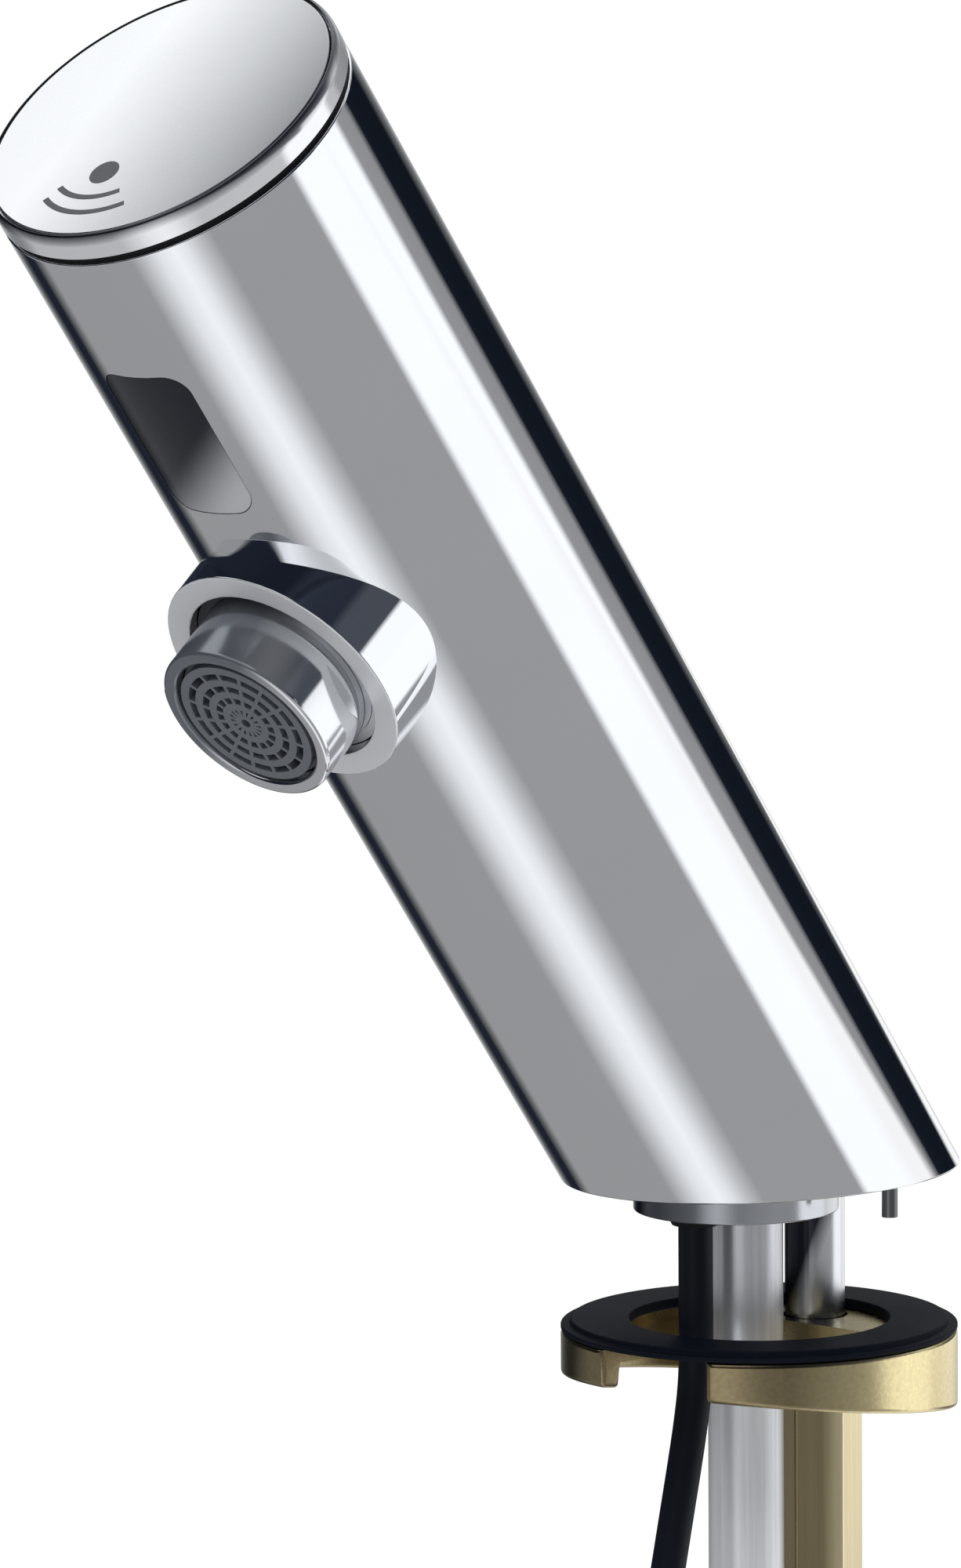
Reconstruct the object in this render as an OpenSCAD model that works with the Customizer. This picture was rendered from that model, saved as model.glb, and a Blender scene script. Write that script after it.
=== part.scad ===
// Sensor basin tap: a round leaning body with a short spout, its valve, its sensor,
// and the clamp set and leads below the deck. Millimetres, +Z up, deck top at z = 0.

/* [Body] */
// Outer diameter of the round body
body_d = 47; // [46:0.5:52]
// Wall of the body casting
body_wall = 2.6; // [2:0.1:3]
// Lean of the body from upright, towards the basin
lean = 38.2; // [35:0.1:41]
// Distance along the body's axis from the deck to the spout's axis
spout_s = 115.1; // [112:0.1:135]
// Distance along the axis from the spout to the body's top edge
head_len = 63.9; // [60:0.1:80]

/* [Spout] */
// Outer diameter of the spout's collar
collar_d = 33.2; // [32:0.1:36]
// Bore of the spout's collar
collar_bore_d = 26.6; // [26:0.1:28]
// Reach of the collar in front of the body
collar_out = 3.8; // [2:0.1:8]
// Diameter of the aerator
aerator_d = 23.8; // [22:0.1:24]
// Reach of the aerator in front of the collar
aerator_out = 8.7; // [6:0.1:12]
// Distance across the aerator's two wrench flats
aerator_flats = 22; // [20:0.1:22.5]

/* [Sensor] */
// Width of the sensor window
window_w = 13.4; // [10:0.1:15]
// Height of the sensor window along the body
window_h = 22; // [18:0.5:24]
// Corner radius of the sensor window
window_r = 3; // [1:0.1:4]
// Distance along the axis from the spout to the window's middle
window_rise = 34.9; // [32:0.1:36]

/* [Cap] */
// Thickness of the black joint under the cap
cap_joint_t = 1; // [0.5:0.1:2]
// Height of the cap's bright rim
cap_rim_t = 3.3; // [2.5:0.1:5]
// Bright margin of the rim around the satin disc
cap_margin = 0.65; // [0.4:0.05:1.5]

/* [Base] */
// Thickness of the plate in the body's foot
base_t = 8; // [7:0.5:10]
// Diameter of the spigot that centres the tap in its hole
spigot_d = 27; // [27:0.5:30]
// Depth of the spigot below the deck's top
spigot_t = 4.5; // [3:0.1:5]
// Diameter of the two pins that stop the tap from turning
pin_d = 2.1; // [1.5:0.1:2.5]
// Depth of the pins below the deck's top
pin_out = 4; // [3:0.1:4.4]

/* [Water] */
// Outer diameter of the supply pipe
pipe_d = 10; // [8:0.5:10]
// Wall of the supply pipe
pipe_wall = 1; // [0.7:0.1:1.5]
// Length of the supply pipe below the deck's top
pipe_below = 220; // [215:5:400]
// Opening stroke of the valve's plunger
plunger_stroke = 2; // [1:0.1:2.5]
// Opening stroke of the check valve's poppet
poppet_stroke = 2; // [1:0.1:2.5]

/* [Fixing] */
// Diameter of the fixing stud
stud_d = 8; // [6:0.5:8]
// Length of the stud below the deck's top
stud_below = 75; // [60:1:90]
// Outer diameter of the clamp and its washer
clamp_d = 52.4; // [50:0.1:56]
// Clearance between the washer's hole and the stud
washer_clear = 1.5; // [1:0.1:2.5]
// Height of the washer's top below the deck's top, as stored
deck_space = 19.6; // [16:0.1:24]
// Thickness of each of the washer's two steps
washer_step_t = 0.7; // [0.5:0.1:1.5]
// Distance across the sleeve nut's flats
nut_af = 11; // [10.5:0.1:13]
// Length of the sleeve nut
nut_len = 45; // [30:1:60]

/* [Cable] */
// Diameter of the cable
cable_d = 4.6; // [4:0.1:4.6]
// Spacing of the hank's layers
hank_pitch = 5.6; // [5.6:0.1:6.5]
// Length of the hank between its end loops
hank_run = 75; // [70:1:90]

/* [Hidden] */
$fn = 64;

// Overrun of a cut past the face that it opens
cut = 1;
// Gap between pieces that are fixed together
fit = 0.1;
// Radial clearance of pieces that slide or turn in each other
run_fit = 0.05;
// Gap between curved pieces that only lie near each other
near = 0.3;

body_r = body_d / 2;
bore_r = body_r - body_wall;
top_s = spout_s + head_len;
foot_s = 2 * body_r;
reach = top_s + pipe_below;

// Spout, measured along its own axis from the body's axis
collar_r = collar_d / 2;
collar_bore_r = collar_bore_d / 2;
collar_f = body_r + collar_out;
nozzle_r = collar_bore_r - fit;
nozzle_recess = 1.8;
nozzle_f1 = collar_f - nozzle_recess;
nozzle_thread_len = 7.5;
nozzle_seat_f = nozzle_f1 - nozzle_thread_len;
nozzle_cavity_r = 9;
nozzle_wall = 2.5;
aerator_r = aerator_d / 2;
aerator_f1 = collar_f + aerator_out;
aerator_bore_r = 10;
aerator_lip = 0.5;
seal_t = 0.9;
seal_in_r = 9.3;
flats_from = 3.2;
grid_t = 1.6;
grid_recess = 0.4;
grid_hub_r = 1.3;
grid_ring_w = 1.05;
grid_slot_w = 0.95;
grid_rings = 4;
grid_ribs = 16;
grid_rib_w = 0.5;
screen_t = 0.8;
screen_hole_r = 0.6;
regulator_t = 3.5;
regulator_hole_r = 0.8;
regulator_holes = 10;

// Sensor
window_s = spout_s + window_rise;
window_proud = 0.05;
window_gap = 0.12;
gasket_w = 1.6;
gasket_t = 0.6;
housing_margin = 4;
led_clear = 3.3;
led_r = 2.5;
led_gap = 5;
led_len = 8;
housing_back = bore_r - led_clear - led_r - led_len - fit;
board_t = 1.6;
board_share = 1.722;
board_w = bore_r * board_share;
board_h = 34;
board_screw_r = 1.25;
board_screw_head_r = 2.2;
board_screw_head_t = 1.6;
board_screw_len = 7;
board_screw_share = 0.526;
board_screw_x = bore_r * board_screw_share;
board_screw_rise = 13;
module_w = 22;
module_d = 10;
module_h = 17;
module_edge = 1;
plug_block_w = 4.4;
plug_block_h = 6;

// Cap
cap_s = top_s + cap_joint_t;
cap_top = cap_s + cap_rim_t;
cap_floor_t = 1.6;
cap_skirt_len = 10;
cap_skirt_wall = 3.2;
cap_gap = 0.25;
disc_r = body_r - cap_margin - cap_gap;
disc_bevel = 0.3;
gasket_in = 0.6;
oring_wire_r = 0.75;
oring_drop = 5;

// Foot
base_r = bore_r - fit;
spigot_r = spigot_d / 2;
spigot_y = -5.4;
pipe_r = pipe_d / 2;
pipe_y = -3.5;
pipe_mark = 22;
pipe_mark_w = 0.5;
pipe_mark_depth = 0.2;
pipe_chamfer = 0.5;
stud_r = stud_d / 2;
stud_up = 7.5;
stud_chamfer = 0.8;
cable_y = -13.7;
pin_r = pin_d / 2;
pin_inset = 1.9;
pin_x = body_r - pin_inset;
pin_y = -0.1;
pin_up = 5;
pin_boss_r = 3;
foot_screw_x_share = 0.694;
foot_screw_y_share = 0.383;
foot_screw_x = bore_r * foot_screw_x_share;
foot_screw_y = bore_r * foot_screw_y_share;
foot_socket_share = 0.8;
foot_socket_depth_share = 0.6;
foot_screw_r = 1.5;
foot_screw_head_r = 2.8;
foot_screw_head_t = 1.7;
foot_screw_len = 12.5;
foot_boss_r = 3.2;
foot_boss_h = 7;
foot_sink = 0.3;

// Water way: its parts stand on a line parallel to the body's axis, set back by core_v
core_share = 0.287;
core_v = bore_r * core_share;
elbow_wall = 3;
elbow_foot_wall = 2;
elbow_foot_top = 17;
elbow_shoulder = 1.2;
elbow_water_r = pipe_r - elbow_shoulder;
elbow_turn_r = pipe_r - elbow_shoulder / 3;
elbow_r = pipe_r + elbow_wall;
elbow_foot_r = pipe_r + elbow_foot_wall;
elbow_socket_top = 13;
elbow_bell_share = 0.574;
elbow_bell_r = bore_r * elbow_bell_share;
elbow_s0 = 9;
elbow_s1 = 24;
elbow_s2 = 44;
bell_wall = 2.5;
bell_floor = 1;
// Height at which the pipe's axis meets the water way's line
meet_s = (core_v * cos(lean) - pipe_y) / sin(lean);
pipe_oring_wire_r = 0.8;
pipe_oring_z = 10.5;
strainer_h = 4.8;
strainer_wall = 0.6;
strainer_hole_share = 0.075;
strainer_holes = 12;
check_r = elbow_bell_r - bell_wall - 2 * fit;
strainer_hole_r = check_r * strainer_hole_share;
check_s0 = elbow_s1 + bell_floor + strainer_h + 2 * fit;
check_s1 = elbow_s2 - 2 * fit;
check_plate_t = 2;
check_wall = 1.9;
check_chamber_r = check_r - check_wall;
check_spider_t = 1.5;
check_spider_drop = 2;
check_hole_r = 1.5;
poppet_room = 2.4;
poppet_lap = 1.5;
poppet_r = check_chamber_r - poppet_room;
check_seat_r = poppet_r - poppet_lap;
poppet_t = 1.7;
poppet_stem_r = 1.2;
poppet_s0 = check_s0 + check_plate_t + fit;
spring_wire = 0.7;
valve_s0 = elbow_s2 + fit;
valve_share = 0.622;
branch_share = 0.574;
branch_r_share = 0.311;
valve_r = bore_r * valve_share;
branch_v = -bore_r * branch_share;
branch_r = bore_r * branch_r_share;
branch_h = 13;
valve_way_up = 7;
valve_way_s = valve_s0 + valve_way_up;
valve_stem_room = 2.4;
valve_wall = 3.5;
valve_rim_wall = 2;
seat_share = 0.308;
seat_way_share = 0.65;
valve_inlet_share = 0.27;
valve_floor = 10;
valve_cavity_r = valve_r - valve_wall;
valve_rim_r = valve_r - valve_rim_wall;
valve_rim_drop = 3;
valve_h = 18;
valve_s1 = valve_s0 + valve_h;
seat_drop = 3.5;
seat_r = valve_r * seat_share;
valve_way_r = seat_r * seat_way_share;
valve_inlet_r = (valve_cavity_r - seat_r) * valve_inlet_share;
valve_inlet_pcd_r = (valve_cavity_r + seat_r) / 2;
seat_s = valve_s0 + valve_h - seat_drop;
diaphragm_s = valve_s1 - valve_rim_drop + fit;
diaphragm_t = 1.3;
insert_lap = 0.5;
insert_r = seat_r + insert_lap;
insert_flange_t = 1;
insert_h = 3;
cover_in_share = 0.554;
cover_play = 1;
cover_in_r = valve_r * cover_in_share;
insert_flange_r = cover_in_r - cover_play;
cover_flange_t = 3;
cover_room = 2.1;
tube_r = 5.2;
tube_len = 26;
tube_stop = 7;
plunger_r = 4.05;
plunger_room = 11;
plunger_len = tube_len - plunger_room;
plunger_nose_r = 1.5;
plunger_nose = 2.4;
plunger_s0 = seat_s + fit + insert_h + fit;
coil_share = 0.536;
coil_r = bore_r * coil_share;
coil_h = 18;
yoke_t = 1.3;
yoke_gap = 0.4;
yoke_r = coil_r + yoke_gap;
coil_s0 = valve_s1 + cover_flange_t + yoke_t + 3 * fit;
yoke_w = 9;
coil_nut_r = 7.4;
coil_nut_h = 3.9;
way_tube_share = 0.615;
way_tube_r = branch_r * way_tube_share;
nozzle_f0 = -branch_v - 2 * way_tube_r;
way_tube_wall = 0.9;
way_tube_in = 6;
way_oring_r = 0.55;
way_oring_step = 2.6;

// Clamp set
clamp_r = clamp_d / 2;
clamp_y = -0.7;
washer_in_step = 1.3;
washer_hole_share = 0.65649;
washer_hole_r = clamp_r * washer_hole_share;
stud_y = clamp_y + washer_hole_r - stud_r - washer_clear;
washer_z = -deck_space;
clamp_z = washer_z - 2 * washer_step_t;
clamp_wall = 3;
clamp_tip_h = 5;
clamp_slope = 7.5;
clamp_flange_t = 2;
clamp_flange_w = 7.6;
clamp_web_in = 6;
clamp_web_y = stud_y - clamp_web_in;
clamp_boss_r = 7.4;
clamp_boss_h = 10.5;
clamp_h = 12;
clamp_gap_left = 12;
clamp_gap_right = 24;
stud_clearance = 0.4;
nut_turned = -15.6;

// Cable
cable_r = cable_d / 2;
gland_r = 3.6;
gland_lip_r = 4.4;
gland_lip_t = 1;
gland_up = 7;
lead_sides = 8;
exit_z = -spigot_t - gland_lip_t;
cable_route = [[0, -13.7, -10], [0, -13.7, -16], [0, -13.7, -22], [0, -14, -27], [0, -14.9, -32],
    [0, -16.1, -37], [0, -17.4, -42], [0, -18.7, -47], [0, -20, -52], [0, -21.2, -56.5],
    [0, -22.2, -61], [0, -23, -65.5], [0, -23.6, -70], [0, -23.9, -74.5]];
hank_top = -79;
hank_y = -24;
hank_loops = 2;
hank_sides = 6;
fold_r = 13.8;
run_steps = 6;
fold_steps = 6;
waist_x = 3;
waist_h = 30;
hank_lead = 24;
tail_len = 20;
tie_w = 4;
tie_t = 1.2;
tie_head = 5;
// Inner lead, in the body's own frame: across, back, along
lead_shares = [[0, -0.338], [0, -0.234], [-0.105, -0.287], [-0.263, -0.344], [-0.421, -0.364],
    [-0.598, -0.301], [-0.756, -0.215], [-0.823, -0.158]];
lead_share = 0.837;
lead_heights = [13.2, 15.9, 19, 22.5, 26.5, 32, 39, 47, 56, 65, 75, 85, 95, 105, 115, 125];
lead_x = -bore_r * lead_share;
lead_v = fit + board_t + cable_r - housing_back;
plug_boot_len = 8;
plug_r = 5;
plug_len = 14;
plug_barrel_r = 4;
plug_barrel_len = 5;
plug_ribs = 5;
plug_rib_r = 0.5;
contact_r = 0.5;
contact_len = 3.5;
contact_pcd_r = 1.8;

// The body's own frame: x across, y back, z along its axis
module tilt() rotate([lean, 0, 0]) children();

// The line that the valve's parts stand on
module at_core(s) tilt() translate([0, core_v, s]) children();

// The spout's frame: z points out of the spout, y up the body
module at_spout() tilt() translate([0, 0, spout_s]) rotate([90, 0, 0]) children();

module tube(r_out, r_in, h) {
    difference() {
        cylinder(r = r_out, h = h);
        translate([0, 0, -cut]) cylinder(r = r_in, h = h + 2 * cut);
    }
}

module ring_of(r, wire_r) rotate_extrude() translate([r, 0]) circle(r = wire_r, $fn = 32);

module above(z) {
    intersection() {
        children();
        translate([-reach, -reach, z]) cube([2 * reach, 2 * reach, reach]);
    }
}

module rounded_rect(w, h, r) {
    square([w - 2 * r, h], center = true);
    square([w, h - 2 * r], center = true);
    for (x = [-1, 1], y = [-1, 1])
        translate([x * (w / 2 - r), y * (h / 2 - r)]) circle(r = r);
}

// A prism through the body's front wall, with the window's outline grown by margin
module window_prism(margin) {
    tilt() translate([0, 0, window_s]) rotate([90, 0, 0])
        linear_extrude(body_r + cut)
            rounded_rect(window_w + 2 * margin, window_h + 2 * margin, window_r + margin);
}

module body_wall_ring(r_out, r_in)
    tilt() translate([0, 0, window_s - window_h]) tube(r_out, r_in, 2 * window_h);

// Bosses inside the shell's foot, for the pins and the foot's screws
module foot_bosses() {
    for (side = [-1, 1]) {
        translate([side * pin_x, pin_y, -cut]) cylinder(r = pin_boss_r, h = base_t + cut);
        translate([side * foot_screw_x, foot_screw_y, base_t + fit])
            cylinder(r = foot_boss_r, h = foot_boss_h);
    }
}

module body_shell() {
    color([0.80, 0.82, 0.84]) difference() {
        above(0) union() {
            tilt() translate([0, 0, -foot_s]) cylinder(r = body_r, h = top_s + foot_s);
            at_spout() cylinder(r = collar_r, h = collar_f);
        }
        difference() {
            tilt() translate([0, 0, -foot_s]) cylinder(r = bore_r, h = top_s + foot_s + cut);
            foot_bosses();
        }
        at_spout() cylinder(r = collar_bore_r, h = collar_f + cut);
        window_prism(window_gap);
        for (side = [-1, 1]) {
            translate([side * pin_x, pin_y, -cut]) cylinder(r = pin_r + run_fit, h = pin_up + fit + cut);
            translate([side * foot_screw_x, foot_screw_y, 0])
                cylinder(r = foot_screw_r + run_fit, h = foot_screw_len + foot_sink + fit);
        }
    }
}

module base_plate() {
    color([0.62, 0.64, 0.66]) difference() {
        union() {
            intersection() {
                tilt() translate([0, 0, -foot_s]) cylinder(r = base_r, h = 2 * foot_s);
                translate([-body_r, -foot_s, 0]) cube([body_d, 2 * foot_s, base_t]);
            }
            translate([0, spigot_y, -spigot_t]) cylinder(r = spigot_r, h = spigot_t + base_t / 2);
        }
        translate([0, pipe_y, -spigot_t - cut]) cylinder(r = pipe_r + fit, h = reach);
        translate([0, cable_y, -spigot_t - cut]) cylinder(r = gland_r + fit, h = reach);
        translate([0, stud_y, -spigot_t - cut]) cylinder(r = stud_r + fit, h = reach);
        for (side = [-1, 1]) {
            translate([side * pin_x, pin_y, -cut]) cylinder(r = pin_boss_r + fit, h = base_t + 2 * cut);
            translate([side * foot_screw_x, foot_screw_y, -cut]) {
                cylinder(r = foot_screw_r + fit, h = base_t + 2 * cut);
                cylinder(r = foot_screw_head_r + fit, h = foot_screw_head_t + foot_sink + fit + cut);
            }
        }
    }
}

module base_screws() {
    color([0.75, 0.76, 0.78]) for (side = [-1, 1])
        translate([side * foot_screw_x, foot_screw_y, foot_sink]) difference() {
            union() {
                cylinder(r = foot_screw_head_r, h = foot_screw_head_t);
                cylinder(r = foot_screw_r, h = foot_screw_len);
            }
            translate([0, 0, -cut])
                cylinder(r = foot_screw_r * foot_socket_share,
                    h = foot_screw_head_t * foot_socket_depth_share + cut, $fn = 6);
        }
}

module anti_twist_pins() {
    color([0.70, 0.71, 0.73]) for (side = [-1, 1])
        translate([side * pin_x, pin_y, -pin_out]) cylinder(r = pin_r, h = pin_out + pin_up);
}

module cap_body() {
    color([0.82, 0.84, 0.86]) tilt() difference() {
        union() {
            translate([0, 0, cap_s - cap_skirt_len]) cylinder(r = bore_r - fit, h = cap_skirt_len);
            translate([0, 0, cap_s]) cylinder(r = body_r, h = cap_rim_t);
        }
        translate([0, 0, cap_s - cap_skirt_len - cut])
            cylinder(r = bore_r - cap_skirt_wall, h = cap_skirt_len + cut);
        translate([0, 0, cap_s + cap_floor_t]) cylinder(r = disc_r + cap_gap, h = cap_rim_t);
        translate([0, 0, cap_s - oring_drop])
            ring_of(bore_r - oring_wire_r - run_fit, oring_wire_r + fit);
    }
}

module cap_disc() {
    color([0.72, 0.73, 0.74]) tilt() translate([0, 0, cap_s + cap_floor_t]) rotate_extrude()
        polygon([[0, 0], [disc_r, 0], [disc_r, cap_rim_t - cap_floor_t - disc_bevel],
            [disc_r - disc_bevel, cap_rim_t - cap_floor_t], [0, cap_rim_t - cap_floor_t]]);
}

module cap_gasket() {
    color([0.05, 0.05, 0.06]) tilt() translate([0, 0, top_s])
        tube(body_r - gasket_in, bore_r + fit / 2, cap_joint_t);
}

module cap_oring() {
    color([0.08, 0.08, 0.09]) tilt() translate([0, 0, cap_s - oring_drop])
        ring_of(bore_r - oring_wire_r - run_fit, oring_wire_r);
}

module sensor_window() {
    color([0.06, 0.07, 0.09]) intersection() {
        body_wall_ring(body_r - window_proud, bore_r);
        window_prism(0);
    }
}

module window_gasket() {
    color([0.12, 0.12, 0.13]) intersection() {
        body_wall_ring(bore_r - fit / 2, bore_r - gasket_t);
        difference() {
            window_prism(gasket_w);
            window_prism(-gasket_w / 2);
        }
    }
}

// Places of the four screws that hold the board to the housing
module board_screw_places() {
    for (x = [-1, 1], z = [-1, 1])
        tilt() translate([x * board_screw_x, 0, window_s + z * board_screw_rise])
            rotate([90, 0, 0]) children();
}

module led_places(up) tilt() translate([0, 0, window_s + up * led_gap]) rotate([90, 0, 0]) children();

module sensor_housing() {
    color([0.15, 0.15, 0.17]) difference() {
        tilt() translate([0, 0, window_s - window_h / 2 - housing_margin]) intersection() {
            cylinder(r = bore_r - gasket_t - fit, h = window_h + 2 * housing_margin);
            translate([-body_r, -body_r, 0])
                cube([body_d, body_r - housing_back, window_h + 2 * housing_margin]);
        }
        for (up = [-1, 1]) led_places(up) cylinder(r = led_r + fit, h = body_r);
        board_screw_places()
            cylinder(r = board_screw_r + run_fit, h = housing_back + board_screw_len + fit);
    }
}

module led() {
    translate([0, 0, housing_back + fit]) {
        cylinder(r = led_r, h = led_len);
        translate([0, 0, led_len]) sphere(r = led_r);
    }
}

module ir_emitter() color([0.30, 0.25, 0.45]) led_places(1) led();

module ir_receiver() color([0.10, 0.10, 0.12]) led_places(-1) led();

module sensor_board() {
    color([0.10, 0.35, 0.20]) difference() {
        tilt() translate([-board_w / 2, -housing_back + fit, window_s - board_h / 2])
            cube([board_w, board_t, board_h]);
        board_screw_places() cylinder(r = board_screw_r + fit, h = body_r);
    }
}

module board_screws() {
    color([0.75, 0.76, 0.78]) board_screw_places()
        translate([0, 0, housing_back - fit - board_t]) {
            translate([0, 0, -board_screw_head_t])
                cylinder(r = board_screw_head_r, h = board_screw_head_t);
            cylinder(r = board_screw_r, h = board_t + board_screw_len);
        }
}

module control_module() {
    board_back = -housing_back + fit + board_t;
    color([0.09, 0.09, 0.10]) tilt() {
        translate([-module_w / 2, board_back, window_s - module_h / 2])
            cube([module_w, module_d - module_edge, module_h]);
        translate([-module_w / 2 + module_edge, board_back, window_s - module_h / 2 + module_edge])
            cube([module_w - 2 * module_edge, module_d, module_h - 2 * module_edge]);
    }
    color([0.85, 0.85, 0.80]) tilt()
        translate([lead_x - plug_block_w / 2, board_back, window_s - board_h / 2])
            cube([plug_block_w, plug_block_w, plug_block_h]);
}

module inlet_elbow() {
    color([0.78, 0.65, 0.38]) difference() {
        above(base_t + fit) union() {
            translate([0, pipe_y, 0]) cylinder(r = elbow_foot_r, h = elbow_foot_top);
            at_core(elbow_s0) cylinder(r = elbow_r, h = elbow_s1 - elbow_s0 + cut);
            at_core(elbow_s1) cylinder(r = elbow_bell_r, h = elbow_s2 - elbow_s1);
        }
        translate([0, pipe_y, 0]) {
            cylinder(r = pipe_r + fit, h = elbow_socket_top + fit);
            translate([0, 0, pipe_oring_z])
                ring_of(pipe_r + pipe_oring_wire_r + run_fit, pipe_oring_wire_r + fit);
            cylinder(r = elbow_water_r, h = core_v * sin(lean) + meet_s * cos(lean));
        }
        at_core(meet_s) {
            sphere(r = elbow_turn_r);
            cylinder(r = elbow_water_r, h = elbow_s1 - meet_s + 2 * cut);
        }
        at_core(elbow_s1 + bell_floor)
            cylinder(r = elbow_bell_r - bell_wall, h = elbow_s2 - elbow_s1);
    }
}

module pipe_oring() {
    color([0.08, 0.08, 0.09]) translate([0, pipe_y, pipe_oring_z])
        ring_of(pipe_r + pipe_oring_wire_r + run_fit, pipe_oring_wire_r);
}

module supply_pipe() {
    color([0.75, 0.77, 0.80]) translate([0, pipe_y, -pipe_below]) difference() {
        union() {
            cylinder(r1 = pipe_r - pipe_chamfer, r2 = pipe_r, h = pipe_chamfer);
            translate([0, 0, pipe_chamfer])
                cylinder(r = pipe_r, h = pipe_below + elbow_socket_top - pipe_chamfer);
        }
        translate([0, 0, -cut])
            cylinder(r = pipe_r - pipe_wall, h = pipe_below + elbow_socket_top + 2 * cut);
        translate([0, 0, pipe_mark]) tube(pipe_r + cut, pipe_r - pipe_mark_depth, pipe_mark_w);
    }
}

module strainer() {
    color([0.70, 0.72, 0.70]) at_core(elbow_s1 + bell_floor + fit) difference() {
        cylinder(r = check_r, h = strainer_h);
        translate([0, 0, strainer_wall]) cylinder(r = check_r - strainer_wall, h = strainer_h);
        for (ring = [1, 2], i = [0 : strainer_holes - 1])
            rotate([0, 0, i * 360 / strainer_holes]) translate([ring * check_r / 3, 0, -cut])
                cylinder(r = strainer_hole_r, h = strainer_wall + 2 * cut, $fn = 16);
    }
}

module check_valve_body() {
    spider_s = check_s1 - check_spider_drop - check_spider_t;
    color([0.88, 0.87, 0.82]) difference() {
        at_core(check_s0) cylinder(r = check_r, h = check_s1 - check_s0);
        at_core(check_s0 - cut) cylinder(r = check_seat_r, h = check_plate_t + 2 * cut);
        at_core(check_s0 + check_plate_t)
            cylinder(r = check_chamber_r, h = spider_s - check_s0 - check_plate_t);
        at_core(spider_s + check_spider_t) cylinder(r = check_chamber_r, h = check_spider_drop + cut);
        at_core(spider_s - cut) {
            cylinder(r = poppet_stem_r + run_fit, h = check_spider_t + 2 * cut);
            for (i = [0 : 5]) rotate([0, 0, i * 60])
                translate([(check_chamber_r + poppet_stem_r) / 2, 0, 0])
                    cylinder(r = check_hole_r, h = check_spider_t + 2 * cut);
        }
    }
}

module check_poppet() {
    stem_top = check_s1 - check_spider_drop + fit;
    color([0.92, 0.92, 0.90]) at_core(poppet_s0) {
        cylinder(r = poppet_r, h = poppet_t);
        cylinder(r = poppet_stem_r, h = stem_top - poppet_s0);
    }
}

module check_spring() {
    s0 = poppet_s0 + poppet_t + fit;
    s1 = check_s1 - check_spider_drop - check_spider_t - fit;
    color([0.65, 0.66, 0.68]) at_core(s0)
        tube(poppet_stem_r + near + spring_wire, poppet_stem_r + near, s1 - s0);
}

module valve_body() {
    color([0.20, 0.21, 0.23]) difference() {
        union() {
            at_core(valve_s0) cylinder(r = valve_r, h = valve_h);
            tilt() translate([0, branch_v, valve_s0]) cylinder(r = branch_r, h = branch_h);
            tilt() translate([-branch_r, branch_v, valve_s0])
                cube([2 * branch_r, core_v - branch_v, branch_h]);
        }
        at_core(valve_s0 - cut) cylinder(r = poppet_stem_r + 2 * near, h = valve_stem_room + cut);
        for (i = [0 : 3]) at_core(valve_s0 - cut) rotate([0, 0, 45 + i * 90])
            translate([valve_inlet_pcd_r, 0, 0]) cylinder(r = valve_inlet_r, h = valve_floor + 2 * cut);
        difference() {
            at_core(valve_s0 + valve_floor) cylinder(r = valve_cavity_r, h = valve_h);
            at_core(valve_s0) cylinder(r = seat_r, h = seat_s - valve_s0);
        }
        at_core(valve_s1 - valve_rim_drop) cylinder(r = valve_rim_r, h = valve_rim_drop + cut);
        at_core(valve_way_s) {
            cylinder(r = valve_way_r, h = valve_h);
            rotate([90, 0, 0]) cylinder(r = valve_way_r, h = core_v - branch_v);
        }
        tilt() translate([0, branch_v, valve_way_s]) cylinder(r = valve_way_r, h = branch_h);
        tilt() translate([0, branch_v, valve_s0 + branch_h - way_tube_in])
            cylinder(r = way_tube_r + fit, h = way_tube_in + cut);
        tilt() translate([0, branch_v, valve_s0 + branch_h - way_oring_step])
            ring_of(way_tube_r + way_oring_r + run_fit, way_oring_r + fit);
    }
}

module diaphragm() {
    color([0.10, 0.10, 0.11]) at_core(diaphragm_s)
        tube(valve_rim_r - fit, insert_r + fit, diaphragm_t);
}

module diaphragm_insert() {
    color([0.90, 0.90, 0.88]) at_core(seat_s + fit) {
        cylinder(r = insert_r, h = insert_h - insert_flange_t + fit);
        translate([0, 0, insert_h - insert_flange_t])
            cylinder(r = insert_flange_r, h = insert_flange_t);
    }
}

module valve_cover() {
    rim_s = diaphragm_s + diaphragm_t + fit;
    color([0.72, 0.74, 0.76]) difference() {
        union() {
            at_core(rim_s) cylinder(r = valve_rim_r - fit, h = valve_s1 - rim_s + cut);
            at_core(valve_s1 + fit) cylinder(r = valve_r, h = cover_flange_t);
            at_core(valve_s1 + cover_flange_t) cylinder(r = tube_r, h = tube_len);
        }
        at_core(rim_s - cut) cylinder(r = cover_in_r, h = valve_s1 - rim_s + cover_room + cut);
        at_core(valve_s1)
            cylinder(r = plunger_r + run_fit, h = cover_flange_t + tube_len - tube_stop);
    }
}

module plunger() {
    color([0.70, 0.71, 0.73]) at_core(plunger_s0) {
        cylinder(r = plunger_nose_r, h = plunger_nose + cut);
        translate([0, 0, plunger_nose]) cylinder(r = plunger_r, h = plunger_len);
    }
}

module plunger_spring() {
    s0 = plunger_s0 + plunger_nose + plunger_len + fit;
    s1 = valve_s1 + cover_flange_t + tube_len - tube_stop - fit;
    color([0.65, 0.66, 0.68]) at_core(s0) tube(plunger_r - near, plunger_r - near - spring_wire, s1 - s0);
}

module solenoid_coil() {
    color([0.12, 0.12, 0.13]) at_core(coil_s0) tube(coil_r, tube_r + fit, coil_h);
}

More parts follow.
